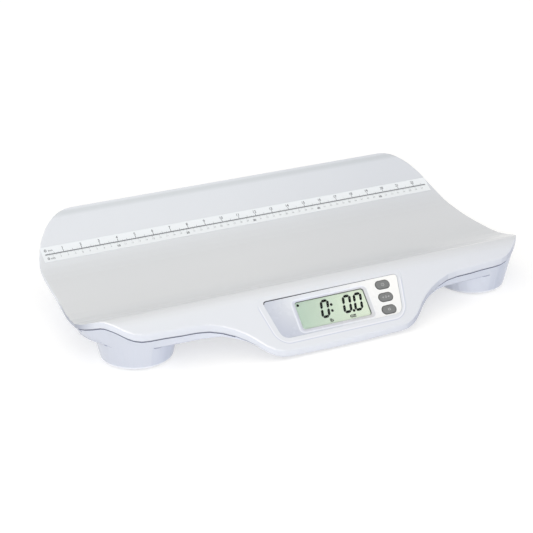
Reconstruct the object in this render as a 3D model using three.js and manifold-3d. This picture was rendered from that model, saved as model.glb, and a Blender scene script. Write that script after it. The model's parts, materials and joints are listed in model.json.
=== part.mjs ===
// Baby scale: a one-piece lying tray with a printed measuring tape, on a shallow base
// with four round foot cups, and a display nose with three keys at the front.
// Millimetres, +Z up, +X along the tray, -Y towards the display. The origin lies on the
// table under the middle of the tray.
import * as THREE from "three";
import { mergeVertices } from "three/addons/utils/BufferGeometryUtils.js";
import Module from "manifold-3d";

const wasm = await Module();
wasm.setup();

// Overall size
const TRAY_LENGTH = 629;
const TRAY_DEPTH = 337;
const BACK_HEIGHT = 108.5;

// Side view of the lying surface: a setback runs from the front lip, an inset from the back
// edge, and a share is of the whole depth.
const NOSE_HEIGHT = 11.25;
const APRON_RUN = 50.5;
const APRON_ANGLE = THREE.MathUtils.degToRad(44);
const RIDGE_SETBACK = 71.5;
const RIDGE_RISE = 8;
const RIDGE_FRONT_ANGLE = THREE.MathUtils.degToRad(5);
const RIDGE_BACK_ANGLE = THREE.MathUtils.degToRad(-28);
const RIDGE_SOFTNESS = 3;
const TROUGH_SHARE = 0.454;
const TROUGH_HEIGHT = 44;
const BED_INSET = 90.5;
const BED_HEIGHT = 49.6;
const BED_ANGLE = THREE.MathUtils.degToRad(7.5);
const WALL_INSET = 38.5;
const WALL_HEIGHT = 71.5;
const WALL_ANGLE = THREE.MathUtils.degToRad(41);
const WALL_TOP_ANGLE = THREE.MathUtils.degToRad(47.5);

// Plan view of the tray, right half: the nose and the shoulder keep their places beside the
// display, the wing's far end and the corner beside the tray's end, and the wing's near end
// lies at a share between them.
const NOSE_INSET = 7;
const NOSE_BOW = 1.2;
const SHOULDER_MARGIN = 23;
const SHOULDER_SETBACK = 19;
const SHOULDER_ANGLE = THREE.MathUtils.degToRad(38);
const WING_SHARE = 0.524;
const WING_SETBACK = 41;
const WING_END_INSET = 69.5;
const WING_END_SETBACK = 42.7;
const CORNER_INSET = 22.5;
const CORNER_SETBACK = 67;
const CORNER_ANGLE = THREE.MathUtils.degToRad(50);
const TIP_SETBACK = 110.5;
const END_INSET = 11.5;
const BACK_CORNER_DEPTH = 76.5;
const BACK_CORNER_WIDTH = 79.5;

// How far each end of an outline curve runs on before it bends
const NOSE_HANDLE = 20;
const SHOULDER_HANDLE = 14;
const WING_HANDLE = 26;
const CORNER_HANDLE = 14;
const TIP_HANDLE = 15;
const END_HANDLE = 26;
const FLARE_HANDLE = 52;
const BACK_HANDLE = 40;

// Moulded walls
const SKIN = 2.8;
const RIM_WALL = 2.8;
const EDGE_RADIUS = 1.5;
const EDGE_STEPS = 2;
const NOSE_LIP = 8.6;
const WING_LIP = 9;
const END_LIP = 4.2;
const BACK_LIP = 9;
const END_LIP_SETBACK = 125;
const LIP_CHAMFER = 0.6;

// Gaps
const PARTING_GAP = 1.4;
const SEAT_GAP = 0.3;
const SLIDE_GAP = 0.35;
const OVERRUN = 1;

// Base shell
const FLOOR_HEIGHT = 30;
const FLOOR = 2.6;
const BASE_INSET = 2.2;
const BASE_END_INSET = 3.4;
const BASE_SPLIT_SHARE = 0.593;
const BASE_BACK_INSET = 44;
const BASE_CORNER_WIDTH = 63;
const TONGUE_STEP = 1.6;
const TONGUE_WALL = 1.4;
const TONGUE_HEIGHT = 4;
const NOSE_FLOOR_HEIGHT = 6.5;
const NOSE_FLOOR_SETBACK = 3;
const NOSE_FLOOR_RUN = 36;
const FRONT_ROUND = 2;
const END_ROUND = 14;
const ROUND_STEPS = 3;
const BASE_DRAFT = 0.6;

// Belly under the nose, which holds the cells and the board
const BELLY_INSET = 8;
const BELLY_SETBACK = 7;
const BELLY_DEPTH = 75;
const BELLY_HEIGHT = 7.5;
const BELLY_CORNER = 12;
const BELLY_WALL = 2.4;
const BELLY_BEVEL = 2;

// Foot cups
const CUP_RADIUS = 44.6;
const CUP_ANGLE = THREE.MathUtils.degToRad(12);
const CUP_CLEARANCE = 2.5;
const CUP_WALL = 2.6;
const CUP_FLOOR = 2.8;
const CUP_EDGE = 1.2;
const FRONT_FOOT_INSET = 72.5;
const FRONT_FOOT_SETBACK = 96.5;
const REAR_FOOT_INSET = 89.5;
const REAR_FOOT_BACK_INSET = 105.5;
const CUP_SIDES = 28;

// The base's wall leans in to meet a front cup while the cup lies this close behind it, and
// gives way to the rounded rim further off.
const CUP_NEAR = 4;
const CUP_FAR = 9;
const CUP_LEAN_RUN = 14;

// Feet and load cells
const FOOT_RADIUS = 19;
const FOOT_PAD_HEIGHT = 3.2;
const FOOT_PAD_CHAMFER = 0.8;
const PLUG_RADIUS = 15;
const PLUG_FLANGE = 2.2;
const PLUG_STEM_RADIUS = 5;
const PLUG_STEM = 3.6;
const CELL_SIZE = 34;
const CELL_THICKNESS = 2.4;
const CELL_CORNER = 4;
const CELL_FRAME = 5;
const CELL_SLOT = 2;
const HOLDER_RADIUS = 30;
const HOLDER_PLATE = 3;
const HOLDER_RIM = 3;
const FOOT_SIDES = 18;

// Display panel in the apron, measured along the slope
const PANEL_SETBACK = 36.5;
const FASCIA_OFFSET = 2;
const FASCIA_TOP_HALF = 96;
const FASCIA_TAPER = 11;
const FASCIA_TOP = 19.4;
const FASCIA_BOTTOM = -33.4;
const FASCIA_TOP_CORNER = 6;
const FASCIA_BOTTOM_CORNER = 11;
const FASCIA_DEPTH = 1.3;
const FASCIA_THICKNESS = 1;
const FASCIA_GAP = 0.35;
const STEP_MARGIN = 6;
const STEP_DEPTH = 0.55;
const LEDGE = 1.6;
const LEDGE_MARGIN = 5;
const WINDOW_LEFT_INSET = 42.4;
const WINDOW_KEY_GAP = 14.15;
const WINDOW_CENTRE_V = -7.85;
const WINDOW_HEIGHT = 36.9;
const WINDOW_CORNER = 3.5;
const WINDOW_REST = 1;
const WINDOW_THICKNESS = 1;
const SURROUND_MARGIN = 3.6;
const SURROUND_DEPTH = 2;
const SURROUND_EDGE = 0.3;
const SURROUND_RING = 3;
const LCD_MARGIN = 4;
const LCD_GLASS = 1.2;
const LCD_LEDGE = 3;
const LCD_FRAME_WALL = 2.4;
const LCD_FRAME_LIP = 0.6;

// Keys
const KEY_WIDTH = 19;
const KEY_HEIGHT = 10.4;
const KEY_PROUD = 1;
const KEY_CROWN = 0.8;
const KEY_INSET = 26.8;
const KEY_V = -8.3;
const KEY_PITCH = 16.9;
const KEY_SLANT = 1.75;
const KEY_FLANGE = 1.6;
const KEY_FLANGE_THICKNESS = 1.2;
const KEY_TRAVEL = 1;
const KEYS = ["button_upper", "button_middle", "button_lower"];

// Display board and key mat
const BOARD_THICKNESS = 1.6;
const BOARD_LEFT_MARGIN = 13.3;
const BOARD_RIGHT_INSET = 15;
const BOARD_TOP = 17;
const BOARD_BOTTOM = -31;
const BOARD_CORNER = 2;
const BOARD_GAP = 0.4;
const CHIP_SIZE = 14;
const CHIP_HEIGHT = 1.8;
const SOCKET_WIDTH = 12;
const SOCKET_PITCH = 24;
const SOCKET_DEPTH = 5;
const SOCKET_HEIGHT = 5;
const MAT_THICKNESS = 0.8;
const MAT_MARGIN = 2.4;
const DOME_RADIUS = 3.4;
const DOME_TOP_RADIUS = 2;
const DOME_GAP = 0.1;

// Battery bay
const CELL_RADIUS = 7.1;
const CELL_LENGTH = 49.2;
const CELL_NUB = 1.2;
const CELL_NUB_RADIUS = 2.7;
const BAY_ROWS = 2;
const BAY_ROW_GAP = 0.8;
const BAY_SETBACK = 41;
const BAY_WALL = 1.8;
const CELL_SIDES = 16;
const CONTACT_THICKNESS = 0.5;
const CONTACT_HEIGHT = 9;
const SPRING_ROOM = 3.8;
const SPRING_RADIUS = 3.4;
const SPRING_END_RADIUS = 1.9;
const SPRING_WIRE = 0.6;
const SPRING_TURNS = 2;
const SPRING_TURN_STEPS = 8;
const SPRING_SIDES = 6;
const DOOR_THICKNESS = 2;
const DOOR_LEDGE = 3.2;
const DOOR_SIDE_LEDGE = 6;
const DOOR_CORNER = 3;
const DOOR_TRAVEL = 8;
const HOOK_WIDTH = 5;
const HOOK_REACH = 2.4;
const HOOK_THICKNESS = 1.4;
const HOOK_SPREAD = 9;
const GRIP_RIBS = 4;
const GRIP_RIB_WIDTH = 1.1;
const GRIP_RIB_PITCH = 2.6;
const GRIP_RIB_HEIGHT = 0.5;
const GRIP_RIB_LENGTH = 24;
const GRIP_SETBACK = 5.2;

// Housing screws
const SCREW_RADIUS = 1.6;
const SCREW_HEAD_RADIUS = 3.6;
const SCREW_HEAD = 2.2;
const SCREW_LENGTH = 7.8;
const BOSS_RADIUS = 6;
const BOSS_HEIGHT = 2.8;
const POST_RADIUS = 4.4;
const SCREW_FRONT_INSET = 174.5;
const SCREW_FRONT_SETBACK = 122;
const SCREW_MIDDLE_X = 52;
const SCREW_MIDDLE_SHARE = 0.498;
const SCREW_BACK_INSET = 194.5;
const SCREW_BACK_EDGE = 75;
const ROUND_SIDES = 12;

// Measuring tape
const TAPE_END_INSET = 21.5;
const TAPE_BACK_INSET = 46.7;
const TAPE_WIDTH = 25;
const TAPE_THICKNESS = 0.35;
const TAPE_GAP = 0.2;

// How close two points may be before they count as one, and before a bend adds a point
const MERGE = 1e-4;
const MIN_STATION = 1.2;

// Facets: the turn of a curve in one step, and the steps in a quarter of a round corner
const TURN_PER_STEP = THREE.MathUtils.degToRad(8);
const TURN_SAMPLES = 40;
const FEWEST_STEPS = 3;
const CORNER_STEPS = 4;
const KEY_STEPS = 6;
const FASCIA_STEPS = 5;

const white = { color: 0xe6eaf2, roughness: 0.42, metalness: 0 };
const baseWhite = { color: 0xdfe4ef, roughness: 0.45, metalness: 0 };
const tapeWhite = { color: 0xeef2f6, roughness: 0.5, metalness: 0 };
const panelGrey = { color: 0xd7d9d8, roughness: 0.35, metalness: 0 };
const keyGrey = { color: 0x7b817f, roughness: 0.7, metalness: 0 };
const lcdGreen = { color: 0xb9c9a6, roughness: 0.25, metalness: 0 };
const clear = { color: 0xffffff, roughness: 0.05, metalness: 0, transparent: true, opacity: 0.35 };
const boardGreen = { color: 0x1f6b3c, roughness: 0.5, metalness: 0 };
const rubberGrey = { color: 0x9a9ea3, roughness: 0.85, metalness: 0 };
const innerWhite = { color: 0xd8dadd, roughness: 0.55, metalness: 0 };
const steel = { color: 0xb8bcc0, roughness: 0.35, metalness: 1 };
const cellSleeve = { color: 0x3a3f45, roughness: 0.4, metalness: 0.2 };

const half = (size) => size / 2;
const frontY = -half(TRAY_DEPTH);
const endX = half(TRAY_LENGTH);
const depthToY = (setback) => frontY + setback;
const fasciaEnd = FASCIA_OFFSET + FASCIA_TOP_HALF;
const fasciaBottomHalf = FASCIA_TOP_HALF - FASCIA_TAPER;
const bellyHalfWidth = fasciaEnd - BELLY_INSET;
const mix = THREE.MathUtils.lerp;
const ease = THREE.MathUtils.smoothstep;

// Turns a three.js geometry into a solid for joining and cutting.
function solidOf(geometry) {
  const plain = geometry.index ? geometry.toNonIndexed() : geometry.clone();
  plain.deleteAttribute("normal");
  plain.deleteAttribute("uv");
  const merged = mergeVertices(plain, MERGE);
  const index = merged.index.array;
  const kept = [];
  for (let i = 0; i < index.length; i += 3) {
    const [a, b, c] = [index[i], index[i + 1], index[i + 2]];
    if (a !== b && b !== c && c !== a) kept.push(a, b, c);
  }
  return new wasm.Manifold(
    new wasm.Mesh({
      numProp: 3,
      vertProperties: merged.attributes.position.array,
      triVerts: new Uint32Array(kept),
    }),
  );
}

// Turns a solid back into a geometry with flat faces.
function geometryOf(solid) {
  const mesh = solid.getMesh();
  const geometry = new THREE.BufferGeometry();
  geometry.setAttribute("position", new THREE.BufferAttribute(mesh.vertProperties, 3));
  geometry.setIndex(new THREE.BufferAttribute(mesh.triVerts, 1));
  const flat = geometry.toNonIndexed();
  flat.computeVertexNormals();
  return flat;
}

const scale = new THREE.Group();

function addNode(name, solid, look, parent = scale) {
  const mesh = new THREE.Mesh(geometryOf(solid), new THREE.MeshStandardMaterial(look));
  mesh.name = name;
  parent.add(mesh);
  return mesh;
}

// Flat shapes and the solids drawn from them
function roundedRect(width, height, radius) {
  const [x, y] = [half(width), half(height)];
  const r = Math.min(radius, x, y);
  const shape = new THREE.Shape();
  shape.absarc(x - r, y - r, r, 0, half(Math.PI));
  shape.absarc(-x + r, y - r, r, half(Math.PI), Math.PI);
  shape.absarc(-x + r, -y + r, r, Math.PI, Math.PI * 1.5);
  shape.absarc(x - r, -y + r, r, Math.PI * 1.5, Math.PI * 2);
  return shape;
}

// An upright slab; a round corner takes two facets for each curve segment.
function slab(shape, low, high, steps = CORNER_STEPS) {
  const options = { depth: high - low, bevelEnabled: false, curveSegments: half(steps) };
  return new THREE.ExtrudeGeometry(shape, options).translate(0, 0, low);
}

// The same with rounded or chamfered top and bottom edges
function bevelled(shape, low, high, bevel, steps) {
  const options = { depth: high - low - 2 * bevel, curveSegments: half(steps) };
  Object.assign(options, { bevelSize: bevel, bevelThickness: bevel, bevelSegments: 2 });
  return new THREE.ExtrudeGeometry(shape, options).translate(0, 0, low + bevel);
}

function block(width, depth, low, high) {
  return slab(roundedRect(width, depth, 0), low, high, 2);
}

// A turned solid about the Z axis, from a list of [radius, height] that runs upwards outside.
function turned(profile, sides = ROUND_SIDES) {
  const points = profile.map(([r, z]) => new THREE.Vector2(r, z));
  return new THREE.LatheGeometry(points, sides).rotateX(half(Math.PI));
}

function rod(radius, low, high, sides) {
  return turned([[0, low], [radius, low], [radius, high], [0, high]], sides);
}

// Points along a curve after its first one, with even turns between them
function pointsOn(curve) {
  let turn = 0;
  for (let i = 0; i < TURN_SAMPLES; i++) {
    turn += curve.getTangent(i / TURN_SAMPLES).angleTo(curve.getTangent((i + 1) / TURN_SAMPLES));
  }
  return curve.getPoints(Math.max(FEWEST_STEPS, Math.ceil(turn / TURN_PER_STEP))).slice(1);
}

// Side view: each bend runs from one point and slope to the next.
function bend(from, to) {
  const [fromRise, toRise] = [Math.tan(from.angle), Math.tan(to.angle)];
  const run = to.s - from.s;
  const reach = (to.z - from.z - toRise * run) / (fromRise - toRise);
  const control = new THREE.Vector2(from.s + reach, from.z + fromRise * reach);
  const [start, end] = [from, to].map(({ s, z }) => new THREE.Vector2(s, z));
  return pointsOn(new THREE.QuadraticBezierCurve(start, control, end));
}

const apronTop = { s: APRON_RUN, z: NOSE_HEIGHT + APRON_RUN * Math.tan(APRON_ANGLE), angle: APRON_ANGLE };
const ridgeHeight = apronTop.z + RIDGE_RISE;
const ridgeFront = {
  s: RIDGE_SETBACK - RIDGE_SOFTNESS,
  z: ridgeHeight - RIDGE_SOFTNESS * Math.tan(RIDGE_FRONT_ANGLE),
  angle: RIDGE_FRONT_ANGLE,
};
const ridgeBack = {
  s: RIDGE_SETBACK + RIDGE_SOFTNESS,
  z: ridgeHeight + RIDGE_SOFTNESS * Math.tan(RIDGE_BACK_ANGLE),
  angle: RIDGE_BACK_ANGLE,
};
const trough = { s: TRAY_DEPTH * TROUGH_SHARE, z: TROUGH_HEIGHT, angle: 0 };
const bed = { s: TRAY_DEPTH - BED_INSET, z: BED_HEIGHT, angle: BED_ANGLE };
const wall = { s: TRAY_DEPTH - WALL_INSET, z: WALL_HEIGHT, angle: WALL_ANGLE };
const wallTop = { s: TRAY_DEPTH, z: BACK_HEIGHT, angle: WALL_TOP_ANGLE };

const surface = [
  new THREE.Vector2(0, NOSE_HEIGHT),
  new THREE.Vector2(apronTop.s, apronTop.z),
  ...bend(apronTop, ridgeFront),
  ...bend(ridgeFront, ridgeBack),
  ...bend(ridgeBack, trough),
  ...bend(trough, bed),
  ...bend(bed, wall),
  ...bend(wall, wallTop),
];

function segmentAt(setback) {
  let i = 1;
  while (i < surface.length - 1 && surface[i].x < setback) i++;
  return [surface[i - 1], surface[i]];
}

function surfaceHeight(setback) {
  const [a, b] = segmentAt(setback);
  return a.y + ((b.y - a.y) * (setback - a.x)) / (b.x - a.x);
}

// The skin's thickness measured straight down, so that it stays even on the slopes
function skinDrop(setback) {
  const [a, b] = segmentAt(setback);
  return SKIN * Math.hypot(1, (b.y - a.y) / (b.x - a.x));
}

// How far the rim reaches below the lying surface: shallow at the nose and the ends
function lipDrop(setback) {
  const front = mix(NOSE_LIP, WING_LIP, ease(setback, 0, WING_SETBACK));
  const ends = mix(front, END_LIP, ease(setback, RIDGE_SETBACK, END_LIP_SETBACK));
  return mix(ends, BACK_LIP, ease(setback, bed.s, TRAY_DEPTH));
}

// Plan view: the right half of the tray's outline, from the nose to the back edge
function cubic(...ends) {
  return pointsOn(new THREE.CubicBezierCurve(...ends.map(([x, s]) => new THREE.Vector2(x, s))));
}

function trayHalf() {
  const middle = [0, 0];
  const nose = [fasciaBottomHalf - NOSE_INSET, NOSE_BOW];
  const shoulder = [FASCIA_TOP_HALF + SHOULDER_MARGIN, SHOULDER_SETBACK];
  const wingEnd = [endX - WING_END_INSET, WING_END_SETBACK];
  const wing = [mix(shoulder[0], wingEnd[0], WING_SHARE), WING_SETBACK];
  const corner = [endX - CORNER_INSET, CORNER_SETBACK];
  const tip = [endX, TIP_SETBACK];
  const end = [endX - END_INSET, TRAY_DEPTH - BACK_CORNER_DEPTH];
  const back = [endX - BACK_CORNER_WIDTH, TRAY_DEPTH];
  const across = ([x, s], reach) => [x + reach, s];
  const backward = ([x, s], reach) => [x, s + reach];
  const tilted = ([x, s], angle, reach) => [x + Math.cos(angle) * reach, s + Math.sin(angle) * reach];
  return [
    ...cubic(middle, across(middle, NOSE_HANDLE), across(nose, -NOSE_HANDLE), nose),
    ...cubic(nose, across(nose, NOSE_HANDLE), tilted(shoulder, SHOULDER_ANGLE, -SHOULDER_HANDLE), shoulder),
    ...cubic(shoulder, tilted(shoulder, SHOULDER_ANGLE, SHOULDER_HANDLE), across(wing, -WING_HANDLE), wing),
    ...cubic(wing, across(wing, WING_HANDLE), across(wingEnd, -WING_HANDLE), wingEnd),
    ...cubic(wingEnd, across(wingEnd, WING_HANDLE), tilted(corner, CORNER_ANGLE, -CORNER_HANDLE), corner),
    ...cubic(corner, tilted(corner, CORNER_ANGLE, CORNER_HANDLE), backward(tip, -TIP_HANDLE), tip),
    ...cubic(tip, backward(tip, END_HANDLE), backward(end, -FLARE_HANDLE), end),
    ...cubic(end, backward(end, BACK_HANDLE), across(back, BACK_HANDLE), back),
  ];
}

// Adds a point wherever the side view bends, so both shells follow every bend, and drops
// an outline point that lies close to one.
const bends = surface.slice(1, -1).map((point) => point.x);

function withStations(points) {
  const stations = points.flatMap((point, i) => {
    const before = points[i - 1] ?? point;
    const crossed = bends.filter((s) => s > before.y && s < point.y);
    const shareOf = (s) => (s - before.y) / (point.y - before.y);
    return [...crossed.map((s) => new THREE.Vector2(mix(before.x, point.x, shareOf(s)), s)), point];
  });
  const kept = (point) => bends.every((s) => s === point.y || Math.abs(s - point.y) > MIN_STATION);
  return stations.filter((point, i) => i === 0 || i === stations.length - 1 || kept(point));
}

// The closed outline: up the right side and down the left, seen from above
function closed(points) {
  const left = points.map((p) => new THREE.Vector2(-p.x, p.y)).reverse();
  return [...points, ...left];
}

function insetPoint(outline, i, distance) {
  const count = outline.length;
  const before = outline[(i + count - 1) % count];
  const here = outline[i];
  const after = outline[(i + 1) % count];
  const inward = (a, b) => new THREE.Vector2(a.y - b.y, b.x - a.x).normalize();
  const [n1, n2] = [inward(before, here), inward(here, after)];
  return here.clone().addScaledVector(n1.clone().add(n2), distance / (1 + n1.dot(n2)));
}

// One level of a shell: the outline drawn in by a distance, at the height that rule gives
function ring(outline, distance, rule) {
  return outline.map((_, i) => {
    const d = typeof distance === "function" ? distance(i) : distance;
    const p = insetPoint(outline, i, d);
    return new THREE.Vector3(p.x, depthToY(p.y), rule(p.y, i));
  });
}

// A closed shell through the rings: the first is filled from above, the last from below,
// each with strips that run straight across the tray.
function shellThrough(rings) {
  const count = rings[0].length;
  const positions = [];
  const face = (...corners) => corners.forEach((p) => positions.push(p.x, p.y, p.z));
  const quad = (a, b, c, d) => {
    face(a, b, c);
    face(a, c, d);
  };
  for (let i = 0; i + 1 < half(count); i++) {
    const across = (r) => [r[i], r[i + 1], r[count - 2 - i], r[count - 1 - i]];
    quad(...across(rings[0]));
    quad(...across(rings[rings.length - 1]).reverse());
  }
  for (let k = 0; k + 1 < rings.length; k++) {
    for (let j = 0; j < count; j++) {
      const next = (j + 1) % count;
      quad(rings[k][j], rings[k + 1][j], rings[k + 1][next], rings[k][next]);
    }
  }
  const geometry = new THREE.BufferGeometry();
  geometry.setAttribute("position", new THREE.Float32BufferAttribute(positions, 3));
  return solidOf(geometry);
}

const trayOutline = closed(withStations(trayHalf()));

// A prism that runs across the tray, from [setback, height] pairs listed front to back
// along the bottom and back again along the top
function acrossSolid(profile, width) {
  const shape = new THREE.Shape(profile.map(([s, z]) => new THREE.Vector2(depthToY(s), z)));
  const geometry = new THREE.ExtrudeGeometry(shape, { depth: width, bevelEnabled: false });
  geometry.translate(0, 0, -half(width));
  return solidOf(geometry.rotateX(half(Math.PI)).rotateZ(half(Math.PI)));
}

// The display panel's own frame: X across, Y up the slope, Z out of the apron
const panelFrame = new THREE.Matrix4()
  .makeRotationX(APRON_ANGLE)
  .setPosition(0, depthToY(PANEL_SETBACK), surfaceHeight(PANEL_SETBACK));
const inPanel = (geometry) => solidOf(geometry.applyMatrix4(panelFrame));

// The fascia's outline narrows towards the bottom, with soft corners.
function fasciaShape(margin) {
  const flare = FASCIA_TAPER / (FASCIA_TOP - FASCIA_BOTTOM);
  const widthAt = (v) => fasciaBottomHalf + margin + flare * (v - FASCIA_BOTTOM);
  const [low, high] = [FASCIA_BOTTOM - margin, FASCIA_TOP + margin];
  const [top, bottom] = [FASCIA_TOP_CORNER + margin, FASCIA_BOTTOM_CORNER + margin];
  const shape = new THREE.Shape();
  shape.moveTo(widthAt(high - top), high - top);
  shape.quadraticCurveTo(widthAt(high), high, widthAt(high) - top, high);
  shape.lineTo(-widthAt(high) + top, high);
  shape.quadraticCurveTo(-widthAt(high), high, -widthAt(high - top), high - top);
  shape.lineTo(-widthAt(low + bottom), low + bottom);
  shape.quadraticCurveTo(-widthAt(low), low, -widthAt(low) + bottom, low);
  shape.lineTo(widthAt(low) - bottom, low);
  shape.quadraticCurveTo(widthAt(low), low, widthAt(low + bottom), low + bottom);
  return shape;
}

// The keys stand in from the fascia's right end, and the window fills what its left end leaves.
const keyX = fasciaEnd - KEY_INSET;
const windowLeft = FASCIA_OFFSET - FASCIA_TOP_HALF + WINDOW_LEFT_INSET;
const windowRight = keyX - KEY_SLANT - half(KEY_WIDTH) - WINDOW_KEY_GAP;
const windowWidth = windowRight - windowLeft;
const windowX = half(windowLeft + windowRight);
const keyPlaces = KEYS.map((name, i) => ({
  name,
  x: keyX + KEY_SLANT * (1 - i),
  v: KEY_V + KEY_PITCH * (1 - i),
}));
function around(width, height, margin, radius) {
  return roundedRect(width + 2 * margin, height + 2 * margin, radius);
}
const keyShape = (margin) => around(KEY_WIDTH, KEY_HEIGHT, margin, half(KEY_HEIGHT) + margin);

// Slabs in the panel's frame: the fascia's, a key's and the window's outline, each grown by a margin
const fasciaSlab = (margin, low, high) =>
  slab(fasciaShape(margin), low, high, 2 * FASCIA_STEPS).translate(FASCIA_OFFSET, 0, 0);
const keySlab = ({ x, v }, margin, low, high) =>
  slab(keyShape(margin), low, high, KEY_STEPS).translate(x, v, 0);
const windowSlab = (margin, low, high, radius = WINDOW_CORNER) => {
  const shape = around(windowWidth, WINDOW_HEIGHT, margin, radius);
  return slab(shape, low, high).translate(windowX, WINDOW_CENTRE_V, 0);
};

// Depths below the apron
const fasciaFloor = -(FASCIA_DEPTH + FASCIA_THICKNESS + SEAT_GAP);
const ledgeUnder = fasciaFloor - LEDGE;
const stackTop = ledgeUnder - SEAT_GAP;
const surroundLow = -(FASCIA_DEPTH + SURROUND_DEPTH + SURROUND_EDGE);
const windowHigh = surroundLow - SEAT_GAP;
const lcdTop = windowHigh - WINDOW_THICKNESS - SEAT_GAP;
const lcdLow = lcdTop - 2 * LCD_GLASS;
const boardTop = lcdLow - SEAT_GAP - LCD_FRAME_LIP - BOARD_GAP;

// Housing screws join the tray's posts to the bosses of the base.
const screwPlaces = [
  [endX - SCREW_FRONT_INSET, SCREW_FRONT_SETBACK],
  [SCREW_MIDDLE_X, TRAY_DEPTH * SCREW_MIDDLE_SHARE],
  [endX - SCREW_BACK_INSET, TRAY_DEPTH - SCREW_BACK_EDGE],
].flatMap(([x, s]) => [[-x, depthToY(s)], [x, depthToY(s)]]);
const headLow = FLOOR_HEIGHT + SEAT_GAP;
const headHigh = headLow + SCREW_HEAD;
const bossHigh = FLOOR_HEIGHT + FLOOR + BOSS_HEIGHT;
const screwTip = headHigh + SCREW_LENGTH;

function makeTray() {
  const rings = [];
  for (let k = 0; k <= EDGE_STEPS; k++) {
    const turn = (half(Math.PI) * k) / EDGE_STEPS;
    const drop = EDGE_RADIUS * (1 - Math.cos(turn));
    rings.push(ring(trayOutline, EDGE_RADIUS * (1 - Math.sin(turn)), (s) => surfaceHeight(s) - drop));
  }
  const rimLow = (_, i) => surfaceHeight(trayOutline[i].y) - lipDrop(trayOutline[i].y);
  rings.push(ring(trayOutline, 0, (s, i) => rimLow(s, i) + LIP_CHAMFER));
  rings.push(ring(trayOutline, LIP_CHAMFER, rimLow));
  rings.push(ring(trayOutline, RIM_WALL, rimLow));
  rings.push(ring(trayOutline, RIM_WALL, (s) => surfaceHeight(s) - skinDrop(s)));
  let tray = shellThrough(rings);

  for (const [x, y] of screwPlaces) {
    const under = surfaceHeight(y - frontY) - half(SKIN);
    tray = tray.add(solidOf(rod(POST_RADIUS, bossHigh + SEAT_GAP, under).translate(x, y, 0)));
  }
  tray = tray.add(inPanel(fasciaSlab(LEDGE_MARGIN, ledgeUnder, -half(SKIN))));

  // The display recess, its shallow step, and the openings in the ledge behind the fascia
  const through = [ledgeUnder - OVERRUN, OVERRUN];
  const cuts = [
    inPanel(fasciaSlab(STEP_MARGIN, -STEP_DEPTH, STEP_MARGIN)),
    inPanel(fasciaSlab(0, fasciaFloor, OVERRUN)),
    inPanel(windowSlab(SURROUND_RING + SLIDE_GAP, ...through)),
    ...keyPlaces.map((place) => inPanel(keySlab(place, SLIDE_GAP, ...through))),
  ];
  for (const [x, y] of screwPlaces) {
    const hole = rod(SCREW_RADIUS + SEAT_GAP, bossHigh - OVERRUN, screwTip + SEAT_GAP);
    cuts.push(solidOf(hole.translate(x, y, 0)));
  }
  cuts.forEach((cut) => (tray = tray.subtract(cut)));
  return tray;
}

function floorHeight(setback) {
  const share = THREE.MathUtils.clamp((setback - NOSE_FLOOR_SETBACK) / NOSE_FLOOR_RUN, 0, 1);
  return mix(NOSE_FLOOR_HEIGHT, FLOOR_HEIGHT, share);
}

// The base's outline: a little inside the tray's at the front and ends, and well under
// the sloping wall at the back. Each point keeps the height of the parting line above it.
// Round the nose, where the lip reaches below the floor, the base draws in behind the lip.
function baseHalf() {
  const rimLow = (s) => surfaceHeight(s) - lipDrop(s);
  const lowestTop = (s) => floorHeight(s) + 2 * BASE_DRAFT;
  const insetAt = (s) => {
    const tucked = ease(lowestTop(s) - rimLow(s), -2 * PARTING_GAP, -PARTING_GAP);
    const front = mix(BASE_INSET, RIM_WALL + SEAT_GAP, tucked);
    return mix(front, BASE_END_INSET, ease(s, CORNER_SETBACK, TIP_SETBACK));
  };
  const points = [];
  const split = TRAY_DEPTH * BASE_SPLIT_SHARE;
  const rightCount = half(trayOutline.length);
  for (let i = 0; i < rightCount && trayOutline[i].y < split; i++) {
    const outer = trayOutline[i];
    const point = insetPoint(trayOutline, i, insetAt(outer.y));
    point.top = Math.max(rimLow(outer.y) - PARTING_GAP, lowestTop(point.y));
    points.push(point);
  }
  const last = points[points.length - 1];
  const back = [last.x - BASE_CORNER_WIDTH, TRAY_DEPTH - BASE_BACK_INSET];
  const reach = half(back[1] - last.y);
  const sweep = cubic([last.x, last.y], [last.x, last.y + reach], [back[0] + reach, back[1]], back);
  for (const point of withStations([last, ...sweep]).slice(1)) {
    const drop = Math.max(END_LIP, skinDrop(point.y) + SEAT_GAP);
    point.top = surfaceHeight(point.y) - drop - PARTING_GAP;
    points.push(point);
  }
  return points;
}

const baseRight = baseHalf();
const baseOutline = closed(baseRight);
const baseTops = [...baseRight, ...[...baseRight].reverse()].map((p) => p.top);
const baseInner = BASE_DRAFT + TONGUE_STEP + TONGUE_WALL;
const topAt = (s, i) => baseTops[i];
const innerFloor = (s) => floorHeight(s) + FLOOR;

const frontFootX = endX - FRONT_FOOT_INSET;
const cupRadiusAt = (z) => CUP_RADIUS + (z - CUP_CLEARANCE) * Math.tan(CUP_ANGLE);

// How far the front cup's wall lies behind the base's outline, at the floor
function cupDepth(i) {
  const { x, y } = baseOutline[i];
  const reach = Math.hypot(Math.abs(x) - frontFootX, y - FRONT_FOOT_SETBACK);
  return reach - cupRadiusAt(FLOOR_HEIGHT);
}

function leanAt(i) {
  const { x, y } = baseOutline[i];
  const depth = Math.max(cupDepth(i) - BASE_DRAFT, 0);
  const outside = y < FRONT_FOOT_SETBACK ? ease(Math.abs(x), frontFootX - CUP_LEAN_RUN, frontFootX) : 0;
  return mix(depth, 0, ease(cupDepth(i), CUP_NEAR, CUP_FAR)) * outside;
}

function roundAt(i) {
  const { x, y } = baseOutline[i];
  const front = y < FRONT_FOOT_SETBACK && Math.abs(x) < frontFootX;
  return mix(FRONT_ROUND, END_ROUND, front ? 0 : ease(cupDepth(i), CUP_NEAR, CUP_FAR));
}

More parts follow.
